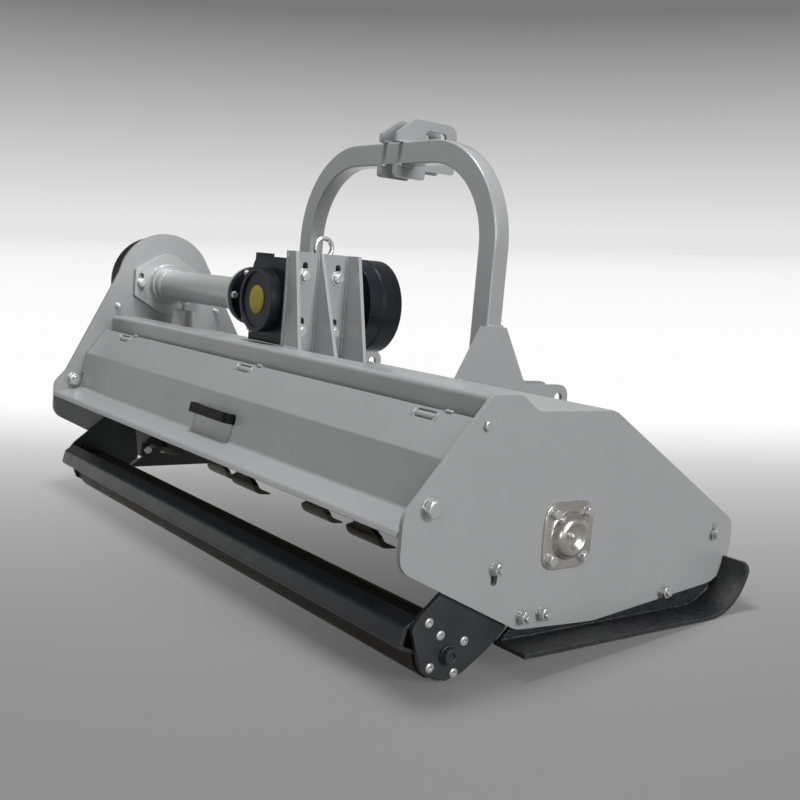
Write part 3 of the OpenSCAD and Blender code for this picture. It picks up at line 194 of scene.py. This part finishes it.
# A round section drawn along a path, with a radius that may change on the way and round it
def swept(path, hint, sides, radius_at):
    rings = []
    last = len(path) - 1
    for i, at in enumerate(path):
        heading = (path[min(i + 1, last)] - path[max(i - 1, 0)]).normalized()
        side = heading.cross(Vector(hint)).normalized()
        top = heading.cross(side)
        radius = radius_at(i)
        angles = [2 * math.pi * k / sides for k in range(sides)]
        rings.append([at + (side * math.cos(t) + top * math.sin(t)) * radius(t) for t in angles])
    return skinned(rings)


# A run of weld metal laid in a corner: overlapping crescents, thinner where it starts and stops
def bead(points, size, seed, step=0.0014):
    chance = random.Random(seed)
    path = []
    for a, b in zip(points, points[1:]):
        count = max(2, int((b - a).length / step))
        path.extend(a.lerp(b, i / count) for i in range(count))
    path.append(points[-1])
    last = len(path) - 1
    phase = chance.random() * 6
    drift = 0.0

    def radius_at(i):
        nonlocal drift
        drift = 0.85 * drift + 0.15 * chance.uniform(-1, 1)
        ends = min(1.0, 0.45 + 0.11 * min(i, last - i))
        wander = 0.25 * drift

        def radius(t):
            crescent = math.sin(phase + i * step / size * 2.4 + 1.1 * math.cos(t))
            return size * ends * (1 + 0.13 * crescent + wander)
        return radius
    return swept(path, (0.31, 0.52, 0.79), 8, radius_at)


# Runs of weld: the places that each one follows, its radius in metres and the seed of its unevenness
def beads(runs):
    return [bead([place(*at) for at in points], size, seed) for points, size, seed in runs]


plate_in = 725       # inner face of a side plate, out from the middle
plate_out = 733      # its outer face
grey = (0.345, 0.348, 0.352)
grey_cloud = (0.315, 0.318, 0.322)
# Its corners take the default lighter grey in broken patches, a painted highlight where light catches the
# edges.
silver_grey = finish("silver_grey_paint", grey, grey_cloud, 0.40, metallic=0.12, coat=0.2)
dress(silver_grey, "right_side_plate", "left_side_plate", "deck_shell", "rear_beam")
deck_corner = [(436, -40), (436, -14), (85, 196.5), (-190, 196.5)]     # ahead and up, under the deck
beam_corner = [(-196, 158), (-196, 197)]
deck_runs = []
for end in (-1, 1):
    x = end * (plate_in - 1.5)
    deck_runs.append(([(x, *at) for at in deck_corner], 0.0032, 11 + end))
    deck_runs.append(([(x, *at) for at in beam_corner], 0.003, 15 + end))
piece("deck_welds", beads(deck_runs), silver_grey, "frame")

# Hitch: a hoop of rectangular tube, bent with rounded corners, between two pairs of cut plates, and
# a pair of slotted plates for the top link. Welded by hand and painted over with the deck.
hitch_x = -50        # middle of the hoop, the gearbox and the input stub
leg_out = 341.5      # middle of a leg, out from there
leg_half = 25        # half a leg's width
leg_back = 157.5
leg_front = 198.5
link_plate = 8       # thickness of the plates on both sides of a leg
bar_top = 688        # the hoop's upper bar, which carries the top link plates
bar_under = 636
bar_front = 199
hoop = nodes["hitch_hoop"]
# Only a trace of the lighter painted highlight on its corners; the rounded corners themselves come from the
# bevel below.
tube_grey = finish("silver_grey_tube", grey, grey_cloud, 0.36, metallic=0.12, coat=0.35, radius=0.001,
                   rub_and_highlight=0.05)
dress(tube_grey, "hitch_hoop")
hoop.modifiers.new("joined_faces", "WELD").merge_threshold = 0.00002
flats = hoop.modifiers.new("whole_flats", "DECIMATE")
flats.decimate_type = "DISSOLVE"
flats.angle_limit = math.radians(0.6)
corners = hoop.modifiers.new("rolled_corners", "BEVEL")
corners.width = 0.004
corners.segments = 3
corners.limit_method = "ANGLE"
corners.angle_limit = math.radians(50)
corners.use_clamp_overlap = False
corners.harden_normals = True
dress(silver_grey, "right_hitch_gusset", "left_hitch_gusset", "top_link_bracket")
hitch_runs = []
for side in (-1, 1):
    middle = hitch_x + side * leg_out
    outer = middle + side * (leg_half + link_plate)
    inner = middle - side * (leg_half + link_plate)
    holds = middle + side * leg_half
    beside = middle - side * leg_half
    hitch_runs += [
        ([(outer, 86, 203.5), (outer, 90, 202), (outer, 296, 78.6)], 0.0036, 20 + side),
        ([(inner, 160, 159.8), (inner, 296, 78.6)], 0.0034, 23 + side),
        ([(holds, leg_back, 300), (holds, 159, 308.5), (holds, 197, 308.5), (holds, leg_front, 300)],
         0.0042, 30 + side),
        ([(holds, leg_back, 165), (holds, leg_back, 299)], 0.003, 40 + side),
        ([(holds, leg_front, 140), (holds, leg_front, 299)], 0.003, 50 + side),
        ([(holds, leg_back, 161.5), (beside, leg_back, 161.5)], 0.0036, 53 + side),
        ([(holds, leg_front, 137), (beside, leg_front, 137)], 0.0036, 56 + side),
        ([(beside, 158, 161), (beside, 158, 193), (beside, 198, 193.5)], 0.003, 58 + side)]
for plate in (-1, 1):
    for face in (-4, 4):
        x = hitch_x + plate * 29 + face
        seed = 7 * plate + face
        hitch_runs += [([(x, 146, bar_top), (x, 197, bar_top)], 0.0028, 60 + seed),
                       ([(x, bar_front, bar_top - 4), (x, bar_front, bar_under + 4)], 0.0028, 70 + seed),
                       ([(x, 196, bar_under), (x, 147, bar_under)], 0.0028, 80 + seed)]
piece("hitch_welds", beads(hitch_runs), silver_grey, "frame")

# Rotor: heavy tube with welded lugs and stub shafts, in thin dark primer that the crop soon polishes
# off the high places. The bolts that carry the hammers are plain turned steel.
rotor_primer = finish("rotor_primer", (0.05, 0.05, 0.048), (0.075, 0.07, 0.062), 0.55, 0.1, ripple=420.0,
                      clouds=16.0, depth=0.00025, rub_and_highlight=0.6, bare_and_highlight=(0.32, 0.3, 0.27))
dress(rotor_primer, "rotor")


# Machined steel: fine turning marks seen as a faint broken sheen, with a trace of oil
def machined(name, colour, cloud, rough, swing=0.08, clouds=40.0, ripple=900.0, depth=0.00004, radius=0.0006,
             metal=1.0):
    return finish(name, colour, cloud, rough, swing, metallic=metal, ripple=ripple, clouds=clouds,
                  depth=depth, radius=radius, rub_and_highlight=0.25, reach=0.001, bare_and_highlight=(0.75, 0.75, 0.74))


bright_steel = machined("turned_steel", (0.42, 0.41, 0.39), (0.3, 0.29, 0.27), 0.36)
dress(bright_steel, "flail_bolts")

# Hammers: drop-forged steel with an oiled olive-black scale, a rough skin and a ground cutting
# edge that is still bright. Each hangs loose on its own bolt between two lugs of the rotor.
hammer_count = 12
forged = finish("forged_scale", (0.068, 0.066, 0.048), (0.125, 0.12, 0.083), 0.36, 0.12, metallic=0.75,
                ripple=170.0, clouds=28.0, depth=0.0006, radius=0.0022, rub_and_highlight=0.95, reach=0.0034,
                bare_and_highlight=(0.5, 0.46, 0.28))
dress(forged, *["flail_%02d" % (i + 1) for i in range(hammer_count)])

# Rotor bearings: cast flange units bolted inside the plates. The right-hand end is closed by a cover
# drawn from plain steel sheet, a square flange with bowed sides round a dome with a funnel and a nipple.
# Its corners take the default lighter grey in broken patches, the painted highlight of finish().
cast_grey = finish("cast_grey", (0.16, 0.162, 0.165), (0.12, 0.12, 0.122), 0.5, metallic=0.3, ripple=300.0,
                   depth=0.0003)
dress(cast_grey, "right_bearing", "left_bearing")
pressed = machined("pressed_steel", (0.7, 0.68, 0.63), (0.5, 0.48, 0.435), 0.27, 0.06, metal=0.92,
                   clouds=26.0, ripple=500.0, depth=0.00002, radius=0.0016)


# A profile of radius and height turned round an axis; a level may also give its radius by the angle
def turned(profile, base, axis, steps=32):
    up = axis.normalized()
    side = up.orthogonal().normalized()
    over = up.cross(side)
    rings = []
    for level in profile:
        ring_points = []
        for k in range(steps):
            t = 2 * math.pi * k / steps
            r, h = level(t) if callable(level) else level
            ring_points.append(base + ((side * math.cos(t) + over * math.sin(t)) * r + up * h) / 1000)
        rings.append(ring_points)
    return skinned(rings)


def bowed_square(share, h, half=56.0, power=4.5):
    square_on = math.pi / 4 + math.atan2(upward.y, upward.z)

    def at(t):
        across = abs(math.cos(t + square_on))
        over = abs(math.sin(t + square_on))
        return share * half / (across ** power + over ** power) ** (1 / power), h
    return at


inside_skin = [(0.1, 11.5), (12, 11.5), (15, 12.6), (18.5, 15.2), (21.5, 17.6), (24, 18.4), (26.4, 18.2),
               (29, 17), (31.4, 15.2), (33.4, 12.4), (34.6, 9), (35.4, 4), (35.6, 0)]
flange_edge = [bowed_square(1.0, 0), bowed_square(1.0, 1.8), bowed_square(0.992, 2.6), bowed_square(0.975, 3)]
dome = [(42.5, 3), (40.6, 3.3), (39.4, 4.2), (38.6, 5.6), (37.8, 8), (36.6, 11), (34.8, 14), (32.4, 16.8),
        (29.6, 18.9), (26.6, 20.1), (24.2, 20.4), (22.4, 20.1), (20.8, 19.1)]
funnel = [(18.4, 17.3), (15.4, 15.4), (12.2, 13.9), (9.2, 13.1), (6.6, 12.9)]
nipple = [(5.8, 13.3), (5.3, 14.6), (4.4, 15.9), (3, 16.8), (1.4, 17.2), (0.1, 17.3)]
end_cover = turned(inside_skin + flange_edge + dome + funnel + nipple, place(plate_out, 0, 0), right, 96)
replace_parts(piece("rotor_end_cover", [end_cover], pressed, "frame"), "bearing_cover")

# Gearbox: an iron casting with a round cover, sprayed near black over its sand-cast skin. A blank
# yellow disc sits in the cover's recess. Filler and level plugs are plain hexagons.
drive_z = 319        # height of the input stub and of the drive tube
cast_black = finish("cast_black_paint", (0.0042, 0.0056, 0.0092), (0.007, 0.0088, 0.0132), 0.42, coat=0.04,
                    ripple=420.0, clouds=18.0, depth=0.00035, radius=0.003, rub_and_highlight=0.25, bare_and_highlight=(0.09, 0.095, 0.1),
                    shine=0.24)
dress(cast_black, "gearbox_housing", "gearbox_cover")
dress(bright_steel, "gearbox_bearings", "bevel_gear", "bevel_pinion", "input_shaft", "lay_shaft",
      "lay_bearing")
blank_yellow = finish("blank_yellow_disc", (0.36, 0.29, 0.009), (0.31, 0.25, 0.008), 0.5, ripple=600.0,
                      depth=0.00003, radius=0.0003, rub_and_highlight=0.0)
disc = turned([(29.6, -0.3), (29.6, 0.3), (29.1, 0.55), (12, 0.7), (0.2, 0.72)],
              place(hitch_x, -161, drive_z), -ahead, 64)
piece("cover_disc", [disc], blank_yellow, "frame")


def six_sided(corner, turn, t):
    return corner * math.cos(math.pi / 6) / math.cos((t - turn) % (math.pi / 3) - math.pi / 6)


def hexagon(base, axis, corner, height, turn, steps=48):
    flat = corner * math.cos(math.pi / 6) * 0.97

    def foot(t):
        return six_sided(corner, turn, t), 0

    def shoulder(t):
        r = six_sided(corner, turn, t)
        return r, height - (r - flat) * 0.58
    top = height + 0.02
    return turned([foot, shoulder, (flat, height), (flat * 0.8, top), (flat * 0.1, top)], base, axis, steps)


zinc = machined("zinc_plate", (0.68, 0.685, 0.685), (0.52, 0.525, 0.53), 0.32, clouds=90.0, depth=0.00002,
                metal=0.76)
filler = place(-70, -52, 410)
level_plug = place(-103, -138, 258)
plugs = [turned([(13, -0.4), (13, 2.5), (11.5, 3), (8, 3)], filler, upward, 28),
         hexagon(filler + upward * 0.0025, upward, 10.5, 7, 0.3),
         turned([(5, 0), (5, 3.4), (3.6, 4.4)], filler + upward * 0.008, upward, 20),
         turned([(11, 0), (11, 2), (9, 2.4)], level_plug, -ahead, 28),
         hexagon(level_plug - ahead * 0.002, -ahead, 9, 7, 0.1)]
piece("gearbox_plugs", plugs, zinc, "frame")

# Gearbox bracket: a slotted plate on three tapered ribs, welded to the deck and the beam. The
# lifting eye is a forged and plated ring screwed into the top of the casting.
bracket_x = 31       # outer face of the slotted plate
bracket_top = 421
bracket_foot = [(-137, 230), (-131, 230), (-90, 204), (14, 204)]     # ahead and up, on the beam and the deck
dress(silver_grey, "gearbox_bracket")
dress(zinc, "lifting_eye")
bracket_runs = [([(bracket_x, *at) for at in bracket_foot], 0.0034, 90)]
for rib_back, rib_front, seat, foot_x in ((-139, -131, 229, 90), (-65, -57, 203, 118), (7, 15, 203, 115)):
    for y in (rib_back - 0.5, rib_front + 0.5):
        seed = 91 + int(y)
        bracket_runs.append(([(bracket_x, y, seat + 6), (bracket_x, y, bracket_top)], 0.0026, seed))
        bracket_runs.append(([(bracket_x + 2, y, seat + 0.5), (foot_x, y, seat + 0.5)], 0.0032, seed + 100))
piece("bracket_welds", beads(bracket_runs), silver_grey, "frame")

# Guard drum round the input stub: rolled sheet in glossy near-black paint, open to the tractor,
# with a rolled step round it and three screws that hold it on the gearbox neck.
screw_circle = 60
neck_end = 64
drum_black = finish("drum_black_paint", (0.0048, 0.0062, 0.0105), (0.0072, 0.009, 0.0138), 0.3, 0.05,
                    coat=0.3, ripple=140.0, clouds=10.0, depth=0.00012, radius=0.0016, rub_and_highlight=0.25,
                    bare_and_highlight=(0.1, 0.1, 0.11), shine=0.4)
dress(drum_black, "pto_guard")
drum_screws = []
for i in range(3):
    t = math.radians(90 + 120 * i)
    at = place(hitch_x + screw_circle * math.cos(t), neck_end, drive_z + screw_circle * math.sin(t))
    drum_screws.append(turned([(9, 0), (9, 1.4), (8.4, 1.7), (5, 1.7)], at, ahead, 24))
    drum_screws.append(hexagon(at + ahead * 0.0015, ahead, 6.6, 5, 0.4 * i))
piece("drum_screws", drum_screws, zinc, "frame")

# Drive tube: steel tube turned down to a stepped collar and a two-eared flange, in a brighter silver
# than the deck. A screw jack on a cone under it sets the belt tension.
drive_y = -57        # axis of the drive tube, behind the rotor
flange_x = -713      # right-hand face of the flange
tube_r = 38.5
jack_x = -607
jack_r = 32.5
jack_seat = 203.5
tube_silver = finish("bright_silver_paint", (0.46, 0.463, 0.467), (0.41, 0.413, 0.417), 0.34, metallic=0.3,
                     coat=0.1, rub_and_highlight=0.1)
dress(tube_silver, "drive_tube", "tension_jack")


def ring(x, r, count=56):
    angles = [2 * math.pi * i / count for i in range(count + 1)]
    return [(x, drive_y + r * math.cos(t), drive_z + r * math.sin(t)) for t in angles]


jack_foot = [(jack_x + jack_r * math.cos(i / 8), drive_y + jack_r * math.sin(i / 8), jack_seat)
             for i in range(51)]
tube_runs = [(ring(flange_x, 50.5), 0.0026, 130), (ring(-673, tube_r), 0.0026, 131),
             (ring(-296, tube_r), 0.0024, 132), (jack_foot, 0.0028, 133)]
piece("tube_welds", beads(tube_runs), tube_silver, "frame")

# Belt drive behind the left plate: cast pulleys on both shafts and three rubber belts, all under
# a deep pressed cover in black.
dress(cast_grey, "drive_pulley", "driven_pulley")
rubber = finish("belt_rubber", (0.018, 0.018, 0.018), (0.03, 0.029, 0.028), 0.7, ripple=700.0, depth=0.0003,
                rub_and_highlight=0.3, bare_and_highlight=(0.06, 0.06, 0.06))
dress(rubber, "drive_belts")
cover_black = finish("cover_black", (0.0075, 0.008, 0.009), (0.012, 0.0125, 0.0135), 0.5, ripple=320.0,
                     clouds=9.0, depth=0.0002, radius=0.004, rub_and_highlight=0.15, bare_and_highlight=(0.06, 0.06, 0.065), shine=0.25)
dress(cover_black, "belt_cover")

# Rear hood: one folded sheet with a rolled lip, hung from three hinges whose knuckles show in slots
# along the beam. A handle of flat strap is bent to a U and welded on above the lip.
hinge_shares = (-0.8, 0.04, 0.85)     # of half the width
knuckle_edge = [(-218.3, 189), (-228.2, 176.4)]     # ahead and up
pin_at = (-214.6, 193.4)
strap_edge = [(-274.3, 80.4), (-271, 97.8)]
strap_ends = (-69, 97)
dress(silver_grey, "rear_hood", "hood_hinges")
handle_black = finish("handle_black", (0.0045, 0.005, 0.0055), (0.009, 0.009, 0.0095), 0.5, ripple=380.0,
                      clouds=30.0, depth=0.00025, rub_and_highlight=0.25, bare_and_highlight=(0.1, 0.1, 0.105), shine=0.16)
dress(handle_black, "hood_handle")
hood_runs = []
for share in hinge_shares:
    hinge = share * plate_in
    for side in (-1, 1):
        x = hinge + side * 29
        hood_runs.append(([(x, *at) for at in knuckle_edge], 0.003, 140 + int(x)))
    hood_runs.append(([(hinge + 36, *pin_at), (hinge + 58, *pin_at)], 0.0034, 150 + int(x)))
piece("hood_welds", beads(hood_runs), silver_grey, "hood")
strap_runs = [([(x, *at) for at in strap_edge], 0.0026, 170 + x) for x in strap_ends]
piece("handle_welds", beads(strap_runs), handle_black, "hood")

# Front flaps: loose steel flaps side by side on a plain plated rod, which lies in both side plates.
# A clip of spring wire, bent to a bow, holds the rod at each end.
rod_y = 391
clip_x = 740
clip_z = -29         # middle of the bow
clip_r = 9.5
clip_wire = 0.0013   # metres
dress(silver_grey, "front_flaps")
dress(zinc, "flap_rod")
clips = []
for end in (-1, 1):
    x = end * clip_x
    bends = [0.1 + i * 0.19 for i in range(23)]
    path = [place(x, rod_y, -8), place(x, rod_y, -17)]
    path += [place(x, rod_y + clip_r * math.sin(t), clip_z + clip_r * math.cos(t)) for t in bends]
    clips.append(swept(path, (0.9, 0.31, 0.3), 10, lambda i: lambda t: clip_wire))
piece("rod_clips", clips, zinc, "frame")

# Skids: flanged runners of thick plate with an upturned nose, in heavy black paint over mill scale.
# The sole and the nose are already scuffed from standing on concrete.
skid_x = 725.6
sole_back = -118
curl_y = 335         # middle of the nose's curl
curl_z = -66
curl_r = 96.4
runner_black = finish("runner_black", (0.0075, 0.0082, 0.0095), (0.02, 0.0205, 0.022), 0.32, 0.12,
                      ripple=620.0, clouds=60.0, depth=0.0011, radius=0.002, rub_and_highlight=0.7, reach=0.003,
                      bare_and_highlight=(0.16, 0.16, 0.165), shine=0.46)
dress(runner_black, "right_skid", "left_skid")
skid_runs = []
for end in (-1, 1):
    x = end * skid_x
    curl = [(x, curl_y + curl_r * math.sin(i / 10), curl_z - curl_r * math.cos(i / 10)) for i in range(9)]
    skid_runs.append(([(x, sole_back, curl_z - curl_r)] + curl, 0.003, 160 + end))
    skid_runs.append((curl[6:], 0.0056, 164 + end))
piece("skid_welds", beads(skid_runs), runner_black, "frame")

# Support roller, its brackets and the scraper: tube with the paint worn to brown, between cut plates
# in satin black, and a folded bar that peels mud off the roller.
roller_y = -228
roller_z = -169
cap_x = 735
bracket_black = finish("bracket_black", (0.017, 0.019, 0.021), (0.026, 0.028, 0.03), 0.4, ripple=330.0,
                       clouds=12.0, depth=0.00018, rub_and_highlight=0.6, bare_and_highlight=(0.11, 0.115, 0.12))
dress(bracket_black, "right_roller_bracket", "left_roller_bracket")
dress(rotor_primer, "roller_bearings")
bar_black = finish("bar_black", (0.012, 0.0145, 0.0185), (0.019, 0.0215, 0.026), 0.33, 0.08, coat=0.2,
                   ripple=150.0, clouds=22.0, depth=0.0003, radius=0.002, rub_and_highlight=0.9, reach=0.003,
                   bare_and_highlight=(0.17, 0.175, 0.18))
dress(bar_black, "scraper_bar")
roller_brown = finish("roller_brown", (0.0095, 0.0078, 0.006), (0.03, 0.0235, 0.017), 0.5, 0.12, ripple=120.0,
                      clouds=14.0, depth=0.0005, rub_and_highlight=0.5, bare_and_highlight=(0.16, 0.12, 0.075))
dress(roller_brown, "roller")
cap_profile = [(13.2, -9), (14.6, -8.6), (14.8, -8), (14.6, -6.6), (13.5, -6.2), (13.4, 3.2), (12.9, 3.9),
               (11.9, 4.1), (6.4, 4.1), (5.7, 3.6), (5.4, 0.6), (4.6, 0.4), (0.4, 0.3)]
axle_caps = [turned(cap_profile, place(end * cap_x, roller_y, roller_z), right * end, 40) for end in (-1, 1)]
piece("axle_caps", axle_caps, bracket_black, "roller")

# Fasteners: zinc-plated hexagon bolts and nuts with plain and spring washers, tightened to whatever
# angle they came to, and button-head screws in the roller brackets.
chance = random.Random(5)


def washer(base, axis, inner, outer, thick):
    edge = 0.3
    return turned([(inner, 0), (outer - edge, 0), (outer, edge), (outer, thick - edge), (outer - edge, thick),
                   (inner, thick)], base, axis, 36)


def spring_washer(base, axis, inner, outer, thick, turn):
    up = axis.normalized()
    side = up.orthogonal().normalized()
    over = up.cross(side)
    rings = []
    for i in range(37):
        t = turn + math.radians(5 + 350 * i / 36)
        lift = 0.9 * i / 36
        out = side * math.cos(t) + over * math.sin(t)
        section = ((inner, 0), (outer, 0), (outer, thick), (inner, thick))
        rings.append([base + (out * r + up * (h + lift)) / 1000 for r, h in section])
    return skinned(rings)


def thread(base, axis, r, long, pitch, steps=20):
    rows = int(long / pitch * 6)

    def level(i):
        h = long * i / rows
        worn = min(1.0, (rows - i) / 6)

        def at(t):
            saw = abs(((h / pitch - t / (2 * math.pi)) % 1) * 2 - 1)
            return r - 0.62 * pitch * saw * 0.8 - (1 - worn) * 0.5, h
        return at
    return turned([level(i) for i in range(rows + 1)], base, axis, steps)


corner_share = 1.83      # a hexagon's corner over the bolt's radius
washer_t = 2


def spring_under(base, out, r):
    made = spring_washer(base, out, r * 1.05, r * 1.62, r * 0.4, chance.uniform(0, 6))
    return made, base + out * (r * 0.4 + 0.5) / 1000


def bolt_head(at, out, r, wide=1.15):
    flat_washer = washer(at, out, r, r * corner_share * wide, washer_t)
    spring, base = spring_under(at + out * washer_t / 1000, out, r)
    return [flat_washer, spring, hexagon(base, out, r * corner_share, r * 1.25, chance.uniform(0, 1))]


def nut_end(at, out, r, stub, wide=1.1):
    flat_washer = washer(at, out, r, r * corner_share * wide, washer_t)
    spring, base = spring_under(at + out * washer_t / 1000, out, r)
    nut = hexagon(base, out, r * corner_share, r * 1.5, chance.uniform(0, 1))
    return [flat_washer, spring, nut, thread(base, out, r, r * 1.5 + stub, r * 0.28)]


bolted_in = plate_in - 8     # inner face of a skid or a roller bracket
lock_bolt = (-294, 64)       # ahead and up, as the next three
top_bolt = (-197, 183)
height_bolt = (-153, -40)
skid_bolts = [(-86, -125), (-42, -125), (262, -125)]
flange_bolt_out = 74
cover_x = -736
cover_ears = [(-186, 255), (94, 255)]
plate_bolts = []
for end in (-1, 1):
    out = right * end
    plate_bolts += bolt_head(place(end * plate_out, *lock_bolt), out, 8)
    plate_bolts += nut_end(place(end * plate_in, *lock_bolt), -out, 8, 3)
    plate_bolts += [hexagon(place(end * plate_out, *top_bolt), out, 8.6, 6, 0.4)]
    for at in [height_bolt] + skid_bolts:
        plate_bolts += nut_end(place(end * plate_out, *at), out, 6, 5)
        plate_bolts += [hexagon(place(end * bolted_in, *at), -out, 11, 7.5, 0.2)]
for y in (drive_y - flange_bolt_out, drive_y + flange_bolt_out):
    plate_bolts += bolt_head(place(flange_x, y, drive_z), right, 6)
    plate_bolts += nut_end(place(-plate_out, y, drive_z), -right, 6, 2)
for at in cover_ears:
    plate_bolts += bolt_head(place(cover_x, *at), -right, 4)
    plate_bolts += nut_end(place(-plate_in, *at), right, 4, 3)
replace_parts(piece("plate_bolt_set", plate_bolts, zinc, "frame"), "frame_bolts")

bearing_bolt_off = 38        # to each side of the rotor axis
bearing_set = []
for y in (-bearing_bolt_off, bearing_bolt_off):
    for z in (-bearing_bolt_off, bearing_bolt_off):
        bearing_set += bolt_head(place(plate_out + 3, y, z), right, 5)
        bearing_set += bolt_head(place(-plate_out, y, z), -right, 5)
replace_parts(piece("bearing_bolt_set", bearing_set, zinc, "frame"), "bearing_bolts")

neck_circle = 58
neck_face = -234
gearbox_set = []
for y in (-97.5, -16.5):
    for z in (262, 376):
        gearbox_set += bolt_head(place(30, y, z), right, 6, wide=1.45)
for i in range(6):
    t = math.radians(60 * i)
    at = place(neck_face, drive_y + neck_circle * math.cos(t), drive_z + neck_circle * math.sin(t))
    gearbox_set += [washer(at, right, 4, 8.2, 1.4), hexagon(at + right * 0.0014, right, 7.3, 4.6, 0.3 * i)]
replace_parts(piece("gearbox_bolt_set", gearbox_set, zinc, "frame"), "gearbox_bolts")


def button_screw(at, out, turn):
    def socket(h):
        return lambda t: (six_sided(3.4, turn, t), h)
    button = [(8, 0), (8, 0.7), (7.4, 1.6), (6.2, 2.2), (4.6, 2.5)]
    return turned(button + [socket(2.45), socket(0.6)], at, out, 36)


flange_circle = 36
scraper_screw = (-269, -114)
around = [math.radians(27 + 90 * i) for i in range(4)]
screw_places = [(roller_y + flange_circle * math.cos(t), roller_z + flange_circle * math.sin(t))
                for t in around]
screw_places.append(scraper_screw)
roller_set = []
for end in (-1, 1):
    for y, z in screw_places:
        roller_set.append(button_screw(place(end * plate_in, y, z), right * end, chance.uniform(0, 1)))
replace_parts(piece("roller_screw_set", roller_set, zinc, "frame"), "roller_bolts")

# Studio: a pale floor that fades into a plain backdrop, broad soft light from above and from the
# right-hand end, and a camera where the picture was taken from, behind the right-hand corner.
reach = 40           # metres from the middle to the floor's edge
into_view = Vector((-0.797, 0.604, 0))


def shade_of(value):
    return (value, value, value, 1)


floor_mesh = bpy.data.meshes.new("floor")
floor_mesh.from_pydata([(-reach, -reach, 0), (reach, -reach, 0), (reach, reach, 0), (-reach, reach, 0)], [],
                       [(0, 1, 2, 3)])
floor = bpy.data.objects.new("floor", floor_mesh)
bpy.context.scene.collection.objects.link(floor)
ground = bpy.data.materials.new("pale_floor")
ground.use_nodes = True
tree = ground.node_tree
lit = tree.nodes["Principled BSDF"]
lit.inputs["Base Color"].default_value = shade_of(0.16)
lit.inputs["Roughness"].default_value = 0.8
lit.inputs["Specular IOR Level"].default_value = 0.1
lit.inputs["Emission Strength"].default_value = 1.0
where = put(tree, "TexCoord").outputs["Object"]
depth = put(tree, "VectorMath", {0: where, 1: into_view}, operation="DOT_PRODUCT").outputs["Value"]
fade = spread(tree, depth, -1.1, 1.6)
pale = blend(tree, times(tree, fade, fade), shade_of(0.07), shade_of(0.93))
tree.links.new(pale, lit.inputs["Emission Color"])
far = blend(tree, spread(tree, depth, 5, 34), shade_of(0.98), shade_of(0.8))
haze = put(tree, "Emission", {"Color": far})
join = put(tree, "MixShader", {0: spread(tree, depth, 0.8, 2.4), 1: lit.outputs[0], 2: haze.outputs[0]})
tree.links.new(join.outputs[0], tree.nodes["Material Output"].inputs["Surface"])
floor_mesh.materials.append(ground)

world = bpy.data.worlds.new("studio")
bpy.context.scene.world = world
world.use_nodes = True
tree = world.node_tree
room = tree.nodes["Background"]
towards = put(tree, "TexCoord").outputs["Generated"]
height = put(tree, "SeparateXYZ", {0: towards}).outputs["Z"]
sky = blend(tree, spread(tree, height, 0.1, 0.9), shade_of(0.07), shade_of(0.6))
tree.links.new(sky, room.inputs["Color"])
room.inputs["Strength"].default_value = 0.6
shade = blend(tree, spread(tree, height, 0.0, 0.19), shade_of(0.79), shade_of(0.19))
behind = put(tree, "VectorMath", {0: towards, 1: into_view}, operation="DOT_PRODUCT").outputs["Value"]
shade = blend(tree, spread(tree, behind, -0.2, 0.5), (0.2, 0.2, 0.205, 1), shade)
backdrop = put(tree, "Background", {"Color": shade})
seen = put(tree, "LightPath").outputs
clear = put(tree, "Math", {0: seen["Is Glossy Ray"], 1: seen["Is Transmission Ray"]}, operation="MAXIMUM")
direct = put(tree, "Math", {0: seen["Is Camera Ray"], 1: clear.outputs[0]}, operation="MAXIMUM")
join = put(tree, "MixShader", {0: direct.outputs[0], 1: room.outputs[0], 2: backdrop.outputs[0]})
tree.links.new(join.outputs[0], tree.nodes["World Output"].inputs["Surface"])

for name, at, aim, size, power in (("overhead", (0.2, -0.42, 3.4), (0, -0.1, 0.3), 0.8, 94.0),
                                   ("right_end", (7.6, 1.0, 2.9), (0.3, 0, 0.4), 3.0, 420.0),
                                   ("camera_side", (2.9, -1.9, 0.5), (0, 0, 0.5), 0.4, 9.0)):
    lamp = bpy.data.lights.new(name, "AREA")
    lamp.size = size
    lamp.energy = power
    stand = bpy.data.objects.new(name, lamp)
    stand.location = at
    stand.rotation_euler = (Vector(aim) - Vector(at)).to_track_quat("-Z", "Y").to_euler()
    bpy.context.scene.collection.objects.link(stand)

eye = bpy.data.cameras.new("photo_eye")
eye.lens = 46.8
eye.sensor_width = 36.0
viewer = bpy.data.objects.new("photo_eye", eye)
look_right = (0.60063, 0.79921, 0.02254)
look_up = (-0.14502, 0.08118, 0.98609)
look_on = (-0.78627, 0.59554, -0.16466)
stands_at = (1.87238, -1.25816, 0.68512)
rows = [(look_right[i], look_up[i], -look_on[i], stands_at[i]) for i in range(3)]
viewer.matrix_world = Matrix(rows + [(0, 0, 0, 1)])
bpy.context.scene.collection.objects.link(viewer)
bpy.context.scene.camera = viewer
bpy.context.scene.view_settings.view_transform = "Standard"
